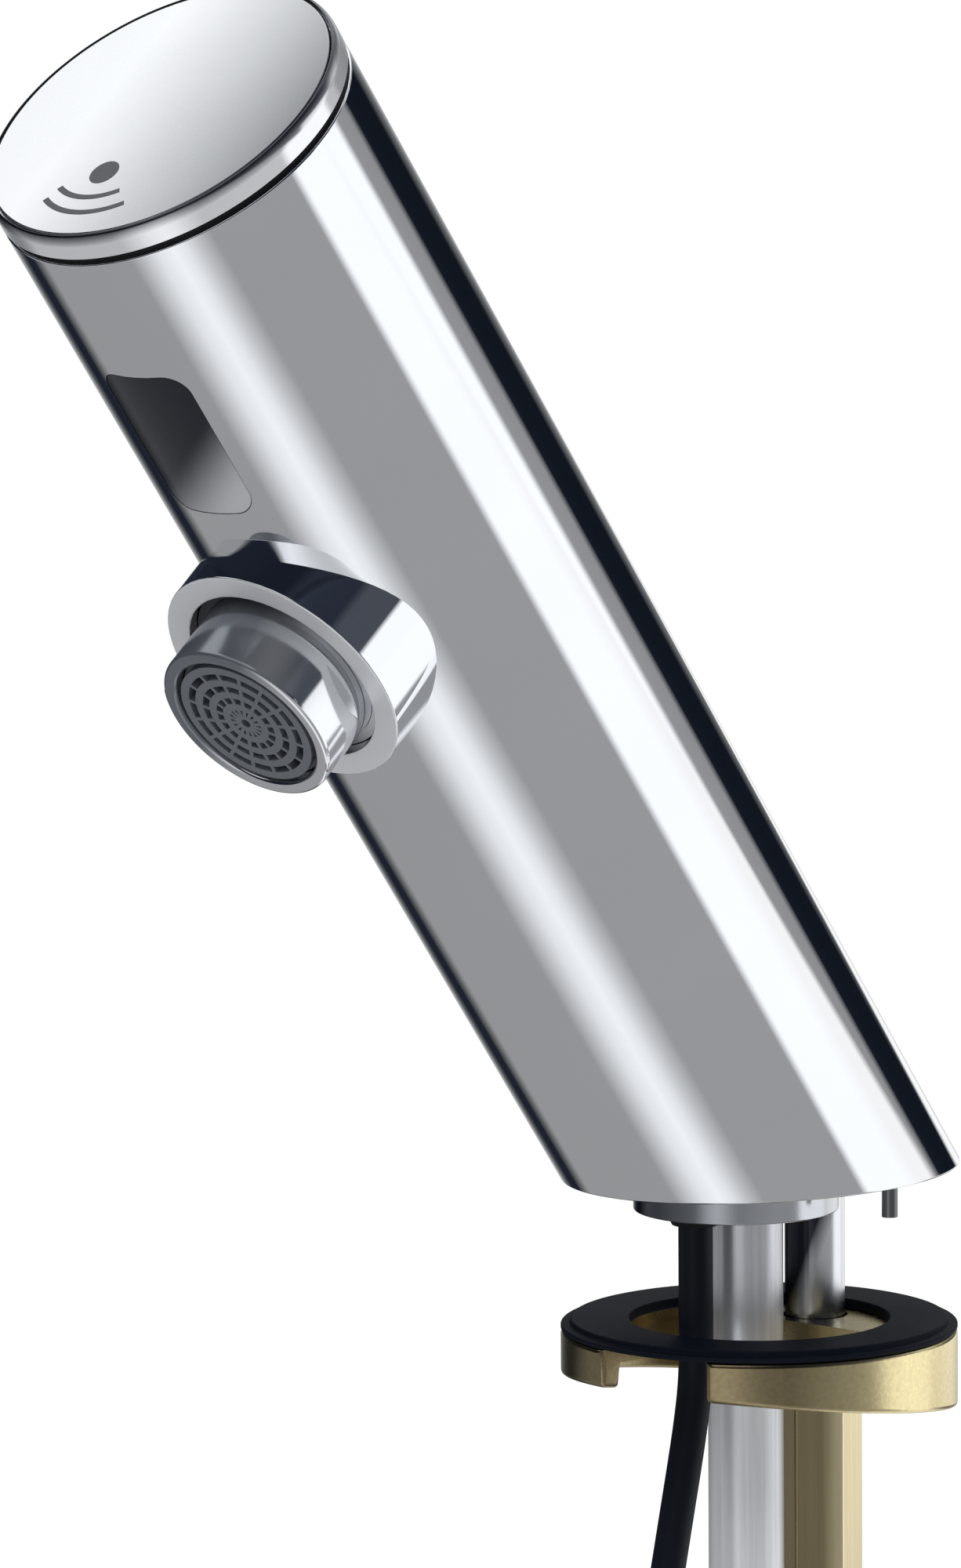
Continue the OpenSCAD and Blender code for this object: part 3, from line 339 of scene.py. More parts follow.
class Finishes:
    """All the finishes of the tap, each made once."""

    CHROME = Finish(
        "chrome", (0.90, 0.91, 0.93), 0.035, Texture.POLISHED, 1.0, 0.02, 0.012,
        wash=Wash((0.78, 0.79, 0.81), OUT, 27.12, 27.28, 0.35, 0.40),
    )
    # Painted dark reflection: the rim's rounded top shoulder, by the disc, turns near black
    RIM = Finish(
        "rim_chrome", (0.93, 0.935, 0.95), 0.09, Texture.POLISHED, 0.62, 0.02, 0.012,
        wash=Wash((0.07, 0.075, 0.09), UP, 181.9, 183.3, 0.2, 1.0),
    )
    # Painted shade: the aerator housing turns dark grey towards its upper left
    AERATOR = Finish(
        "aerator_chrome", (0.90, 0.91, 0.93), 0.09, Texture.POLISHED, 1.0, 0.02, 0.012,
        wash=Wash((0.20, 0.215, 0.24), (-0.682, -0.598, 0.42), 84, 92, 0.18, 0.65),
    )
    # Painted sheen: the satin disc is bright at its left and darkens to grey towards +x
    SATIN = Finish(
        "satin_chrome", (0.96, 0.965, 0.97), 0.27, Texture.SATIN, 1.0, 0.02, 0.03, 2e-6, 5000.0,
        wash=Wash((0.20, 0.205, 0.215), (1, 0, 0), -10, 26),
    )
    # Painted shade and light: the foot plate is dark on its left and light grey towards the camera's right
    FOOT = Finish(
        "foot_plate", (0.11, 0.12, 0.14), 0.16, Texture.SATIN, 1.0, 0.12, 0.04, 6e-6, 2500.0,
        wash=Wash((0.68, 0.70, 0.73), PAINTED_LIGHT_WAY, -14, 1),
    )
    # Painted shade: the nozzle is black so that the gap round the aerator reads as deep shade, with a
    # painted highlight where it turns pale towards +x
    NOZZLE_PAINTED_SHADE_AND_LIGHT = Finish(
        "nozzle_painted_shade_and_light", (0.05, 0.052, 0.06), 0.30, Texture.SATIN, 1.0, 0.1, 0.04,
        wash=Wash((0.92, 0.93, 0.95), (1, 0, 0), 1, 9, 0.35, 0.3),
    )
    PIN = Finish("pin_steel", (0.20, 0.205, 0.215), 0.30, Texture.DRAWN, 1.0, 0.2, 0.05, 4e-6, 2500.0)
    # Painted shade and light: the pipe is darker above the clamp, where shade falls under the tap, and
    # brighter below it
    PIPE = Finish(
        "pipe_plated", (0.84, 0.85, 0.88), 0.30, Texture.DRAWN, 0.70, 0.25, 0.06, 5e-6, 1500.0,
        wash=Wash((0.90, 0.91, 0.93), (0, 0, -1), 22, 30, 0.34, 0.42),
    )
    # Painted shade and highlight: the stud is near black and turns bright towards the camera's right
    STUD = Finish(
        "stud_painted_shade_and_highlight", (0.035, 0.038, 0.048), 0.24, Texture.DRAWN, 1.0, 0.05, 0.03, 1e-6, 2500.0,
        wash=Wash((0.86, 0.88, 0.90), (0.71, 0.622, -0.331), 9.6, 11.6),
    )
    # Painted light and shade: the horseshoe is dark brown on its left and bright gold towards the camera's
    # right
    CAST_BRASS = Finish(
        "cast_brass", (0.37, 0.30, 0.17), 0.26, Texture.CAST, 1.0, 0.16, 0.06, 1.2e-5, 1600.0,
        wash=Wash((0.97, 0.83, 0.47), PAINTED_LIGHT_WAY, 3, 15),
    )
    # Painted light and shade: the nut's faces towards the camera's right are bright gold, the rest dark
    # brown
    NUT_BRASS = Finish(
        "drawn_brass", (0.41, 0.33, 0.19), 0.20, Texture.DRAWN, 1.0, 0.16, 0.05, 4e-6, 1800.0,
        wash=Wash((0.97, 0.84, 0.53), PAINTED_LIGHT_WAY, 8.0, 10.4),
    )
    TURNED_BRASS = Finish("turned_brass", (0.80, 0.64, 0.34), 0.22, Texture.SATIN, 1.0, 0.1, 0.05, 4e-6)
    COPPER = Finish("copper", (0.80, 0.48, 0.33), 0.22, Texture.SATIN, 1.0, 0.15, 0.05)
    GOLD = Finish("gold_plated", (0.90, 0.70, 0.32), 0.15, Texture.POLISHED, 1.0, 0.05, 0.02)
    STAINLESS = Finish("stainless", (0.60, 0.61, 0.62), 0.26, Texture.DRAWN, 1.0, 0.12, 0.05, 3e-6)
    SCREW = Finish("zinc_plated", (0.66, 0.67, 0.69), 0.28, Texture.SATIN, 1.0, 0.1, 0.04)
    YOKE = Finish("yoke_steel", (0.48, 0.49, 0.50), 0.35, Texture.SATIN, 1.0, 0.15, 0.05)
    RUBBER = Finish(
        "black_rubber", (0.008, 0.008, 0.010), 0.55, Texture.MOULDED, 0.0, 0.3, 0.08, 1e-5, 2200.0,
        0.2,
    )
    WASHER = Finish(
        "washer_rubber", (0.004, 0.006, 0.013), 0.60, Texture.MOULDED, 0.0, 0.35, 0.08, 1e-5,
        1800.0, 0.12,
    )
    CABLE = Finish(
        "cable_jacket", (0.005, 0.007, 0.013), 0.45, Texture.MOULDED, 0.0, 0.3, 0.06, 8e-6, 1500.0,
        0.18,
    )
    # Painted reflection: the smoked window fades to grey towards its lower right
    WINDOW = Finish(
        "smoked_window", (0.006, 0.008, 0.014), 0.08, Texture.POLISHED, 0.0, 0.1, 0.02,
        wash=Wash((0.50, 0.51, 0.52), (0.639, 0.56, -0.53), -115.6, -106.6, smooth=True),
    )
    BLACK = Finish(
        "black_plastic", (0.02, 0.02, 0.022), 0.42, Texture.MOULDED, 0.0, 0.2, 0.06, 8e-6, 2500.0,
    )
    GREY = Finish("grey_plastic", (0.12, 0.13, 0.145), 0.30, Texture.MOULDED, 0.0, 0.15, 0.05, 5e-6, 2500.0)
    BODY_GREY = Finish("filled_plastic", (0.11, 0.115, 0.125), 0.45, Texture.MOULDED, 0.0, 0.2, 0.05, 1e-5)
    WHITE = Finish("white_plastic", (0.80, 0.80, 0.76), 0.40, Texture.MOULDED, 0.0, 0.06, 0.05, 5e-6)
    ORANGE = Finish("orange_plastic", (0.80, 0.25, 0.08), 0.38, Texture.MOULDED, 0.0, 0.08, 0.05, 5e-6)
    POTTING = Finish(
        "potting_compound", (0.03, 0.03, 0.034), 0.35, Texture.MOULDED, 0.0, 0.3, 0.1, 1e-5, 700.0,
    )
    BOARD = Finish("circuit_board", (0.02, 0.14, 0.06), 0.30, Texture.CAST, 0.0, 0.25, 0.05, 4e-6, 900.0)
    EMITTER = Finish("tinted_diode", (0.16, 0.12, 0.26), 0.10, Texture.POLISHED, 0.0, 0.1, 0.02)
    RECEIVER = Finish("dark_diode", (0.02, 0.02, 0.025), 0.10, Texture.POLISHED, 0.0, 0.1, 0.02)
    MARK = Finish("etched_mark", (0.075, 0.078, 0.085), 0.45, Texture.MOULDED, 0.0, 0.15, 0.05)

    def __init__(self) -> None:
        """Starts with no material made."""
        self.made: dict[str, bpy.types.Material] = {}

    def get(self, finish: Finish) -> bpy.types.Material:
        """Makes a finish's material on its first use.

        Args:
            finish: the finish.

        Returns:
            Its material.
        """
        if finish.name not in self.made:
            self.made[finish.name] = finish.build()
        return self.made[finish.name]


# The CAD nodes that have each finish
Dress = dict[Finish, tuple[str, ...]]


@dataclass(frozen=True)
class Round:
    """A round wall of the real part, whose normals are known exactly."""

    place: Matrix
    radius: float

    def normal(self, point: Vector) -> Vector:
        """Returns the direction away from the wall's axis at a point."""
        local = self.place.inverted() @ point
        return (self.place.to_3x3() @ Vector((local.x, local.y, 0))).normalized()

    def holds(self, point: Vector, slack: float) -> bool:
        """Tells whether a point lies on the wall, within a slack in metres."""
        local = self.place.inverted() @ point
        return abs(math.hypot(local.x, local.y) - self.radius * MM) < slack


@dataclass
class Maker:
    """Makes mesh objects and attaches them to their bodies."""

    finishes: Finishes
    count: int = 0
    # Lengths in metres, angles in radians, and aligned as a cosine
    weld: float = 2e-6
    flat: float = math.radians(0.3)
    sharp: float = math.radians(35)
    least_edge: float = 2e-5
    aligned: float = 0.96
    slack: float = 8e-5
    lathe_weld: float = 1e-7
    lathe_sharp: float = 0.5
    # In degrees: past it, an edge of a smooth piece stays sharp
    soft: float = 32.0

    def dress(self, finishes: Dress) -> None:
        """Gives CAD nodes their finishes.

        Args:
            finishes: the names of the nodes that have each finish.
        """
        for finish, names in finishes.items():
            for name in names:
                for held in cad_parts[name].material_slots:
                    held.material = self.finishes.get(finish)
                LOG.info("%s keeps its solid, finish %s", name, finish.name)

    def piece(
        self, name: str, form: Form, finish: Finish, body: str, slot: str,
        replaces: Sequence[str] = (), angle: float | None = None,
    ) -> bpy.types.Object:
        """Turns a form into a piece of the visual model.

        Args:
            name: the piece's name.
            form: its mesh, in metres and in the frame.
            finish: its finish.
            body: the body it rides on.
            slot: the record's material slot, not used.
            replaces: the CAD nodes that it stands for.
            angle: the degrees past which an edge of a smooth piece stays sharp.

        Returns:
            The piece's object.
        """
        mesh = bpy.data.meshes.new(name)
        form.to_mesh(mesh)
        form.free()
        mesh.materials.append(self.finishes.get(finish))
        made = add(name, mesh)
        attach(made, body)
        if replaces:
            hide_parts(*replaces)
        if angle is not None:
            self._smooth(made, angle)
        self.count += 1
        LOG.info("%s: %d faces on %s", name, len(mesh.polygons), body)
        return made

    def copy_of(self, node: str) -> Form:
        """Copies a CAD node's mesh and merges its doubles.

        Args:
            node: the node.

        Returns:
            The closed form.
        """
        form = bmesh.new()
        form.from_mesh(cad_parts[node].data)
        bmesh.ops.remove_doubles(form, verts=form.verts, dist=self.weld)
        return form

    def _smooth(self, made: bpy.types.Object, angle: float) -> None:
        """Shades a piece smooth up to an angle, with its large faces leading.

        Args:
            made: the piece.
            angle: the angle in degrees past which an edge stays sharp.
        """
        made.data.polygons.foreach_set("use_smooth", [True] * len(made.data.polygons))
        made.data.set_sharp_from_angle(angle=math.radians(angle))
        weighted = made.modifiers.new("Weighted", "WEIGHTED_NORMAL")
        weighted.keep_sharp = True

    def fillet(
        self, form: Form, width: float, chosen: Choice = lambda middle: True, segments: int = 3
    ) -> set[Face]:
        """Rounds the outward edges of a form that came from a CAD node.

        Args:
            form: the merged form.
            width: the fillet's width in millimetres.
            chosen: tells from an edge's middle whether it is rounded.
            segments: the fillet's steps.

        Returns:
            The fillets' faces.
        """
        bmesh.ops.dissolve_limit(form, angle_limit=self.flat, verts=form.verts, edges=form.edges)
        bmesh.ops.dissolve_degenerate(form, dist=self.least_edge, edges=form.edges)
        sharp = [
            e for e in form.edges
            if len(e.link_faces) == 2 and e.is_convex and e.calc_face_angle(0) > self.sharp
            and chosen((e.verts[0].co + e.verts[1].co) / 2)
        ]
        made = bmesh.ops.bevel(
            form, geom=sharp, offset=width * MM, offset_type="OFFSET", affect="EDGES",
            segments=segments, profile=0.5, material=-1, clamp_overlap=False,
        )
        return set(made["faces"])

    def _on_walls(self, form: Form, walls: Sequence[Round]) -> dict[Face, tuple[Round, int]]:
        """Finds the faces that lie on round walls.

        Args:
            form: the form.
            walls: the round walls that it has.

        Returns:
            Each such face's wall, and 1 where it faces outwards or -1 where it faces the axis.
        """
        held: dict[Face, tuple[Round, int]] = {}
        for face in form.faces:
            middle = face.calc_center_median()
            for wall in walls:
                facing = wall.normal(middle).dot(face.normal)
                lies = all(wall.holds(v.co, self.slack) for v in face.verts)
                if lies and abs(facing) > self.aligned:
                    held[face] = (wall, 1 if facing > 0 else -1)
                    break
        return held

    def _normals(self, form: Form, walls: Sequence[Round], fillets: set[Face]) -> list[Point]:
        """Works out the normals of all corners: exact on round walls, blended on fillets.

        Args:
            form: the form.
            walls: the round walls that it has.
            fillets: the faces of its fillets.

        Returns:
            One normal for each corner of each face, in order.
        """
        form.normal_update()
        held = self._on_walls(form, walls)
        normals: list[Point] = []
        for face in form.faces:
            for loop in face.loops:
                corner = loop.vert
                lead = face
                if face in fillets:
                    beside = [f for f in corner.link_faces if f not in fillets]
                    lead = ([f for f in beside if f in held] or beside or [None])[0]
                if lead is None:
                    normals.append(tuple(corner.normal))
                elif lead in held:
                    wall, sign = held[lead]
                    normals.append(tuple(sign * wall.normal(corner.co)))
                else:
                    normals.append(tuple(lead.normal))
        return normals

    def skin(
        self, node: str, finish: Finish, body: str, slot: str, walls: Sequence[Round],
        width: float = 0.0, chosen: Choice = lambda middle: True, segments: int = 3,
    ) -> None:
        """Makes a piece from a CAD node, with exact normals on its round walls and soft edges.

        Args:
            node: the CAD node that the piece stands for.
            finish: its finish.
            body: the body it rides on.
            slot: the record's material slot.
            walls: the round walls that it has.
            width: the fillets' width in millimetres, or 0 for none.
            chosen: tells from an edge's middle whether it is rounded.
            segments: the fillets' steps.
        """
        form = self.copy_of(node)
        fillets = self.fillet(form, width, chosen, segments) if width > 0 else set()
        normals = self._normals(form, walls, fillets)
        made = self.piece(f"{node}_skin", form, finish, body, slot, [node])
        made.data.polygons.foreach_set("use_smooth", [True] * len(made.data.polygons))
        made.data.normals_split_custom_set(normals)

    def lathe(
        self, outline: Sequence[Span], place: Matrix, steps: int, fillet: float
    ) -> Form:
        """Spins a closed outline round an axis.

        Args:
            outline: radius and height of each corner, in millimetres.
            place: the axis's place in the frame.
            steps: the steps of the full turn.
            fillet: the rounding of the corners, in millimetres.

        Returns:
            The closed form.
        """
        form = bmesh.new()
        corners = [form.verts.new((r * MM, 0, z * MM)) for r, z in outline]
        pairs = zip(corners, corners[1:] + corners[:1])
        edges = [form.edges.new(pair) for pair in pairs if any(v.co.x > 0 for v in pair)]
        bmesh.ops.spin(
            form, geom=corners + edges, cent=(0, 0, 0), axis=(0, 0, 1),
            angle=2 * math.pi, steps=steps, use_merge=True, use_duplicate=False,
        )
        bmesh.ops.remove_doubles(form, verts=form.verts, dist=self.lathe_weld)
        bmesh.ops.recalc_face_normals(form, faces=form.faces)
        sharp = [
            e for e in form.edges
            if len(e.link_faces) == 2 and e.calc_face_angle(0) > self.lathe_sharp
        ]
        bmesh.ops.bevel(
            form, geom=sharp, offset=fillet * MM, offset_type="OFFSET", affect="EDGES",
            segments=3, profile=0.5, material=-1, clamp_overlap=True,
        )
        form.transform(place)
        return form


@dataclass
class Body:
    """The leaning chrome body with its collar, its foot plate and its pins."""

    maker: Maker
    body_r: float = 23.5
    bore_r: float = 20.9
    collar_r: float = 16.6
    collar_bore_r: float = 13.3
    spigot_r: float = 13.5
    spigot_y: float = -5.4
    edge: float = 0.25
    opening: tuple[float, float, float] = (7.7, 138.0, 162.0)

    def _rounded(self, middle: Vector) -> bool:
        """Tells whether an edge of the shell is rounded: all but those of the window's opening.

        Args:
            middle: the edge's middle, in the frame.

        Returns:
            True outside the opening.
        """
        across, low, high = (c * MM for c in self.opening)
        local = TILT.inverted() @ middle
        return not (abs(local.x) < across and low < local.z < high and local.y < 0)

    def build(self) -> None:
        """Makes the smooth shell and dresses the foot."""
        walls = [
            Round(TILT, self.body_r), Round(TILT, self.bore_r),
            Round(SPOUT, self.collar_r), Round(SPOUT, self.collar_bore_r),
        ]
        self.maker.skin(
            "body_shell", Finishes.CHROME, ROOT, "chrome", walls, self.edge, self._rounded
        )
        spigot = Round(upright(self.spigot_y), self.spigot_r)
        self.maker.skin("base_plate", Finishes.FOOT, ROOT, "plated_metal", [spigot], self.edge)
        self.maker.dress({
            Finishes.PIN: ("anti_twist_pins",),
            Finishes.SCREW: ("base_screws",),
        })


@dataclass
class Cap:
    """The cap: a bright rim, a satin disc in it, a black joint and the sensor mark."""

    maker: Maker
    seat: float = 180.0
    rim_t: float = 3.3
    floor_t: float = 1.6
    body_r: float = 23.5
    recess_r: float = 22.85
    disc_r: float = 22.6
    skirt_r: float = 20.8
    skirt_in_r: float = 17.7
    skirt_len: float = 10.0
    dot: tuple[float, float, float] = (-0.6, -11.5, 2.0)
    arcs: tuple[tuple[float, float, float, float], ...] = (
        (-0.8, -7.25, 8.75, 34.1),
        (-0.05, -7.5, 11.2, 35.2),
    )
    stroke: float = 0.8
    mark_t: float = 0.03
    dot_steps: int = 48
    arc_steps: int = 28
    shoulder_t: float = 1.5
    shoulder_steps: int = 10
    turn_steps: int = 256
    rim_edge: float = 0.05
    disc_edge: float = 0.3

    def build(self) -> None:
        """Makes the rim, the disc and the mark, and dresses the joints."""
        top = self.seat + self.rim_t
        turns = [math.pi / 2 * k / self.shoulder_steps for k in range(self.shoulder_steps + 1)]
        margin = self.body_r - self.recess_r
        shoulder = [
            (self.recess_r + margin * math.cos(a), top - self.shoulder_t * (1 - math.sin(a)))
            for a in turns
        ]
        floor = self.seat + self.floor_t
        skirt_end = self.seat - self.skirt_len
        rim = self.maker.lathe(
            [
                (0, self.seat), (self.skirt_in_r, self.seat), (self.skirt_in_r, skirt_end),
                (self.skirt_r, skirt_end), (self.skirt_r, self.seat), (self.body_r, self.seat),
                *shoulder, (self.recess_r, floor), (0, floor),
            ],
            TILT, self.turn_steps, self.rim_edge,
        )
        soft = self.maker.soft
        self.maker.piece("cap_rim", rim, Finishes.RIM, ROOT, "chrome", ["cap_body"], soft)
        disc = self.maker.lathe(
            [(0, floor), (self.disc_r, floor), (self.disc_r, top), (0, top)],
            TILT, self.turn_steps, self.disc_edge,
        )
        self.maker.piece(
            "cap_disc_skin", disc, Finishes.SATIN, ROOT, "satin_chrome", ["cap_disc"], soft
        )
        self._mark(top)
        self.maker.dress({Finishes.RUBBER: ("cap_gasket", "cap_oring")})

    def _mark(self, top: float) -> None:
        """Makes the etched sensor mark.

        Args:
            top: the height of the disc's face along the body's axis.
        """
        form = bmesh.new()
        x, v, r = self.dot
        bmesh.ops.create_circle(
            form, cap_ends=True, segments=self.dot_steps, radius=r * MM,
            matrix=Matrix.Translation((x * MM, v * MM, top * MM)),
        )
        for x, v, r, half in self.arcs:
            start = Matrix.Rotation(math.radians(-90 - half), 4, "Z")
            middle = Vector((x * MM, v * MM, top * MM))
            ends = [
                form.verts.new(middle + start @ Vector((d * MM, 0, 0)))
                for d in (r - self.stroke / 2, r + self.stroke / 2)
            ]
            edge = form.edges.new(ends)
            bmesh.ops.spin(
                form, geom=[*ends, edge], cent=middle, axis=(0, 0, 1),
                angle=math.radians(2 * half), steps=self.arc_steps, use_merge=False,
                use_duplicate=False,
            )
        bmesh.ops.recalc_face_normals(form, faces=form.faces)
        for face in form.faces:
            if face.normal.z < 0:
                face.normal_flip()
        bmesh.ops.solidify(form, geom=form.faces, thickness=-self.mark_t * MM)
        bmesh.ops.recalc_face_normals(form, faces=form.faces)
        form.transform(TILT)
        self.maker.piece("sensor_mark", form, Finishes.MARK, ROOT, "black_plastic")


@dataclass
class Sensor:
    """The window and the electronics behind it."""

    maker: Maker
    window_r: float = 23.45
    bore_r: float = 20.9

    FINISHES: ClassVar[Dress] = {
        Finishes.RUBBER: ("window_gasket", "cable_gland"),
        Finishes.BLACK: ("sensor_housing",),
        Finishes.EMITTER: ("ir_emitter",),
        Finishes.RECEIVER: ("ir_receiver",),
        Finishes.BOARD: ("sensor_board",),
        Finishes.SCREW: ("board_screws",),
        Finishes.POTTING: ("control_module",),
        Finishes.CABLE: ("inner_lead",),
    }

    def build(self) -> None:
        """Makes the smooth window and dresses the rest."""
        walls = [Round(TILT, self.window_r), Round(TILT, self.bore_r)]
        self.maker.skin("sensor_window", Finishes.WINDOW, ROOT, "smoked_plastic", walls)
        self.maker.dress(self.FINISHES)


@dataclass
class Valve:
    """The water way inside the body: inlet, check valve and solenoid valve."""

    maker: Maker
    springs: tuple[tuple[str, str, float, float], ...] = (
        ("check_spring", "poppet_slide", 33.9, 40.2),
        ("plunger_spring", "plunger_slide", 79.3, 84.0),
    )
    travel: float = 2.0
    soft: float = 60.0

    FINISHES: ClassVar[Dress] = {
        Finishes.TURNED_BRASS: ("inlet_elbow",),
        Finishes.RUBBER: ("pipe_oring", "diaphragm", "tube_orings"),
        Finishes.STAINLESS: (
            "strainer", "check_spring", "valve_cover", "plunger", "plunger_spring",
        ),
        Finishes.WHITE: ("check_valve_body", "check_poppet", "diaphragm_insert"),
        Finishes.BODY_GREY: ("valve_body",),
        Finishes.POTTING: ("solenoid_coil",),
        Finishes.YOKE: ("solenoid_yoke",),
        Finishes.SCREW: ("coil_nut",),
        Finishes.COPPER: ("outlet_tube",),
        Finishes.NOZZLE_PAINTED_SHADE_AND_LIGHT: ("spout_nozzle",),
    }

    def _spring(self, node: str, joint: str, low: float, high: float) -> None:
        """Makes a spring's coil from its CAD node, shaded smooth.

        Args:
            node: the spring's CAD node.
            joint: the joint at its moving end, not used.
            low: where its moving end is along the body, in millimetres, not used.
            high: where its fixed end is, not used.
        """
        form = self.maker.copy_of(node)
        coil = self.maker.piece(
            f"{node}_coil", form, Finishes.STAINLESS, ROOT, "spring_steel", [node], self.soft
        )
        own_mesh(coil)

    def build(self) -> None:
        """Dresses every piece of the valve and makes its springs."""
        self.maker.dress(self.FINISHES)
        for spring in self.springs:
            self._spring(*spring)


@dataclass
class Aerator:
    """The aerator in the spout."""

    maker: Maker
    radius: float = 11.9
    bore_r: float = 10.0
    face_f: float = 36.0
    lip: float = 0.75
    lip_steps: int = 5
    lip_margin: float = 0.1

    FINISHES: ClassVar[Dress] = {
        Finishes.GREY: ("aerator_insert",),
        Finishes.ORANGE: ("flow_regulator",),
        Finishes.STAINLESS: ("aerator_screen",),
        Finishes.RUBBER: ("aerator_seal",),
    }

    def _at_lip(self, middle: Vector) -> bool:
        """Tells whether an edge is at the housing's front."""
        return (SPOUT.inverted() @ middle).z > (self.face_f - self.lip_margin) * MM

    def build(self) -> None:
        """Makes the bright housing and dresses the insert, the screen and the seal."""
        walls = [Round(SPOUT, self.radius), Round(SPOUT, self.bore_r)]
        self.maker.skin(
            "aerator_housing", Finishes.AERATOR, "aerator", "chrome", walls, self.lip,
            self._at_lip, self.lip_steps,
        )
        self.maker.dress(self.FINISHES)


@dataclass
class ClampSet:
    """The pipe and the clamp set below the deck."""

    maker: Maker
    pipe_y: float = -3.5
    pipe_r: float = 5.0
    pipe_wall: float = 1.0
    stud_y: float = 11.0
    stud_r: float = 4.0
    clamp_y: float = -0.7
    clamp_r: float = 26.2
    wall: float = 3.0
    step_in: float = 1.3
    hole_r: float = 17.2
    top: float = -19.6
    step_t: float = 0.7
    turn_steps: int = 192
    washer_edge: float = 0.2
    clamp_edge: float = 0.7
    clamp_edge_steps: int = 4
    inner_margin: float = 0.4
    nut_edge: float = 0.35

    def _outside(self, middle: Vector) -> bool:
        """Tells whether an edge of the horseshoe lies outside its inner wall."""
        inner = self.clamp_r - self.wall - self.inner_margin
        return math.hypot(middle.x, middle.y - self.clamp_y * MM) > inner * MM

    def build(self) -> None:
        """Makes the pipe, the stud, the washer, the horseshoe and the nut."""
        pipe = upright(self.pipe_y)
        walls = [Round(pipe, self.pipe_r), Round(pipe, self.pipe_r - self.pipe_wall)]
        self.maker.skin("supply_pipe", Finishes.PIPE, ROOT, "pipe_steel", walls)
        stud = Round(upright(self.stud_y), self.stud_r)
        self.maker.skin("mounting_stud", Finishes.STUD, ROOT, "stud_steel", [stud])
        low = self.top - 2 * self.step_t
        middle = low + self.step_t
        step_r = self.clamp_r - self.step_in
        washer = self.maker.lathe(
            [
                (self.hole_r, low), (self.clamp_r, low), (self.clamp_r, middle), (step_r, middle),
                (step_r, self.top), (self.hole_r, self.top),
            ],
            upright(self.clamp_y), self.turn_steps, self.washer_edge,
        )
        horseshoe = self.maker.copy_of("horseshoe_clamp")
        self.maker.fillet(horseshoe, self.clamp_edge, self._outside, self.clamp_edge_steps)
        nut = self.maker.copy_of("sleeve_nut")
        self.maker.fillet(nut, self.nut_edge)
        for name, form, finish, body, slot, node in (
            ("washer_skin", washer, Finishes.WASHER, "clamp", "washer_rubber", "rubber_washer"),
            (
                "horseshoe_skin", horseshoe, Finishes.CAST_BRASS, "clamp", "cast_brass",
                "horseshoe_clamp",
            ),
            ("nut_skin", nut, Finishes.NUT_BRASS, "nut", "nut_brass", "sleeve_nut"),
        ):
            self.maker.piece(name, form, finish, body, slot, [node], self.maker.soft)


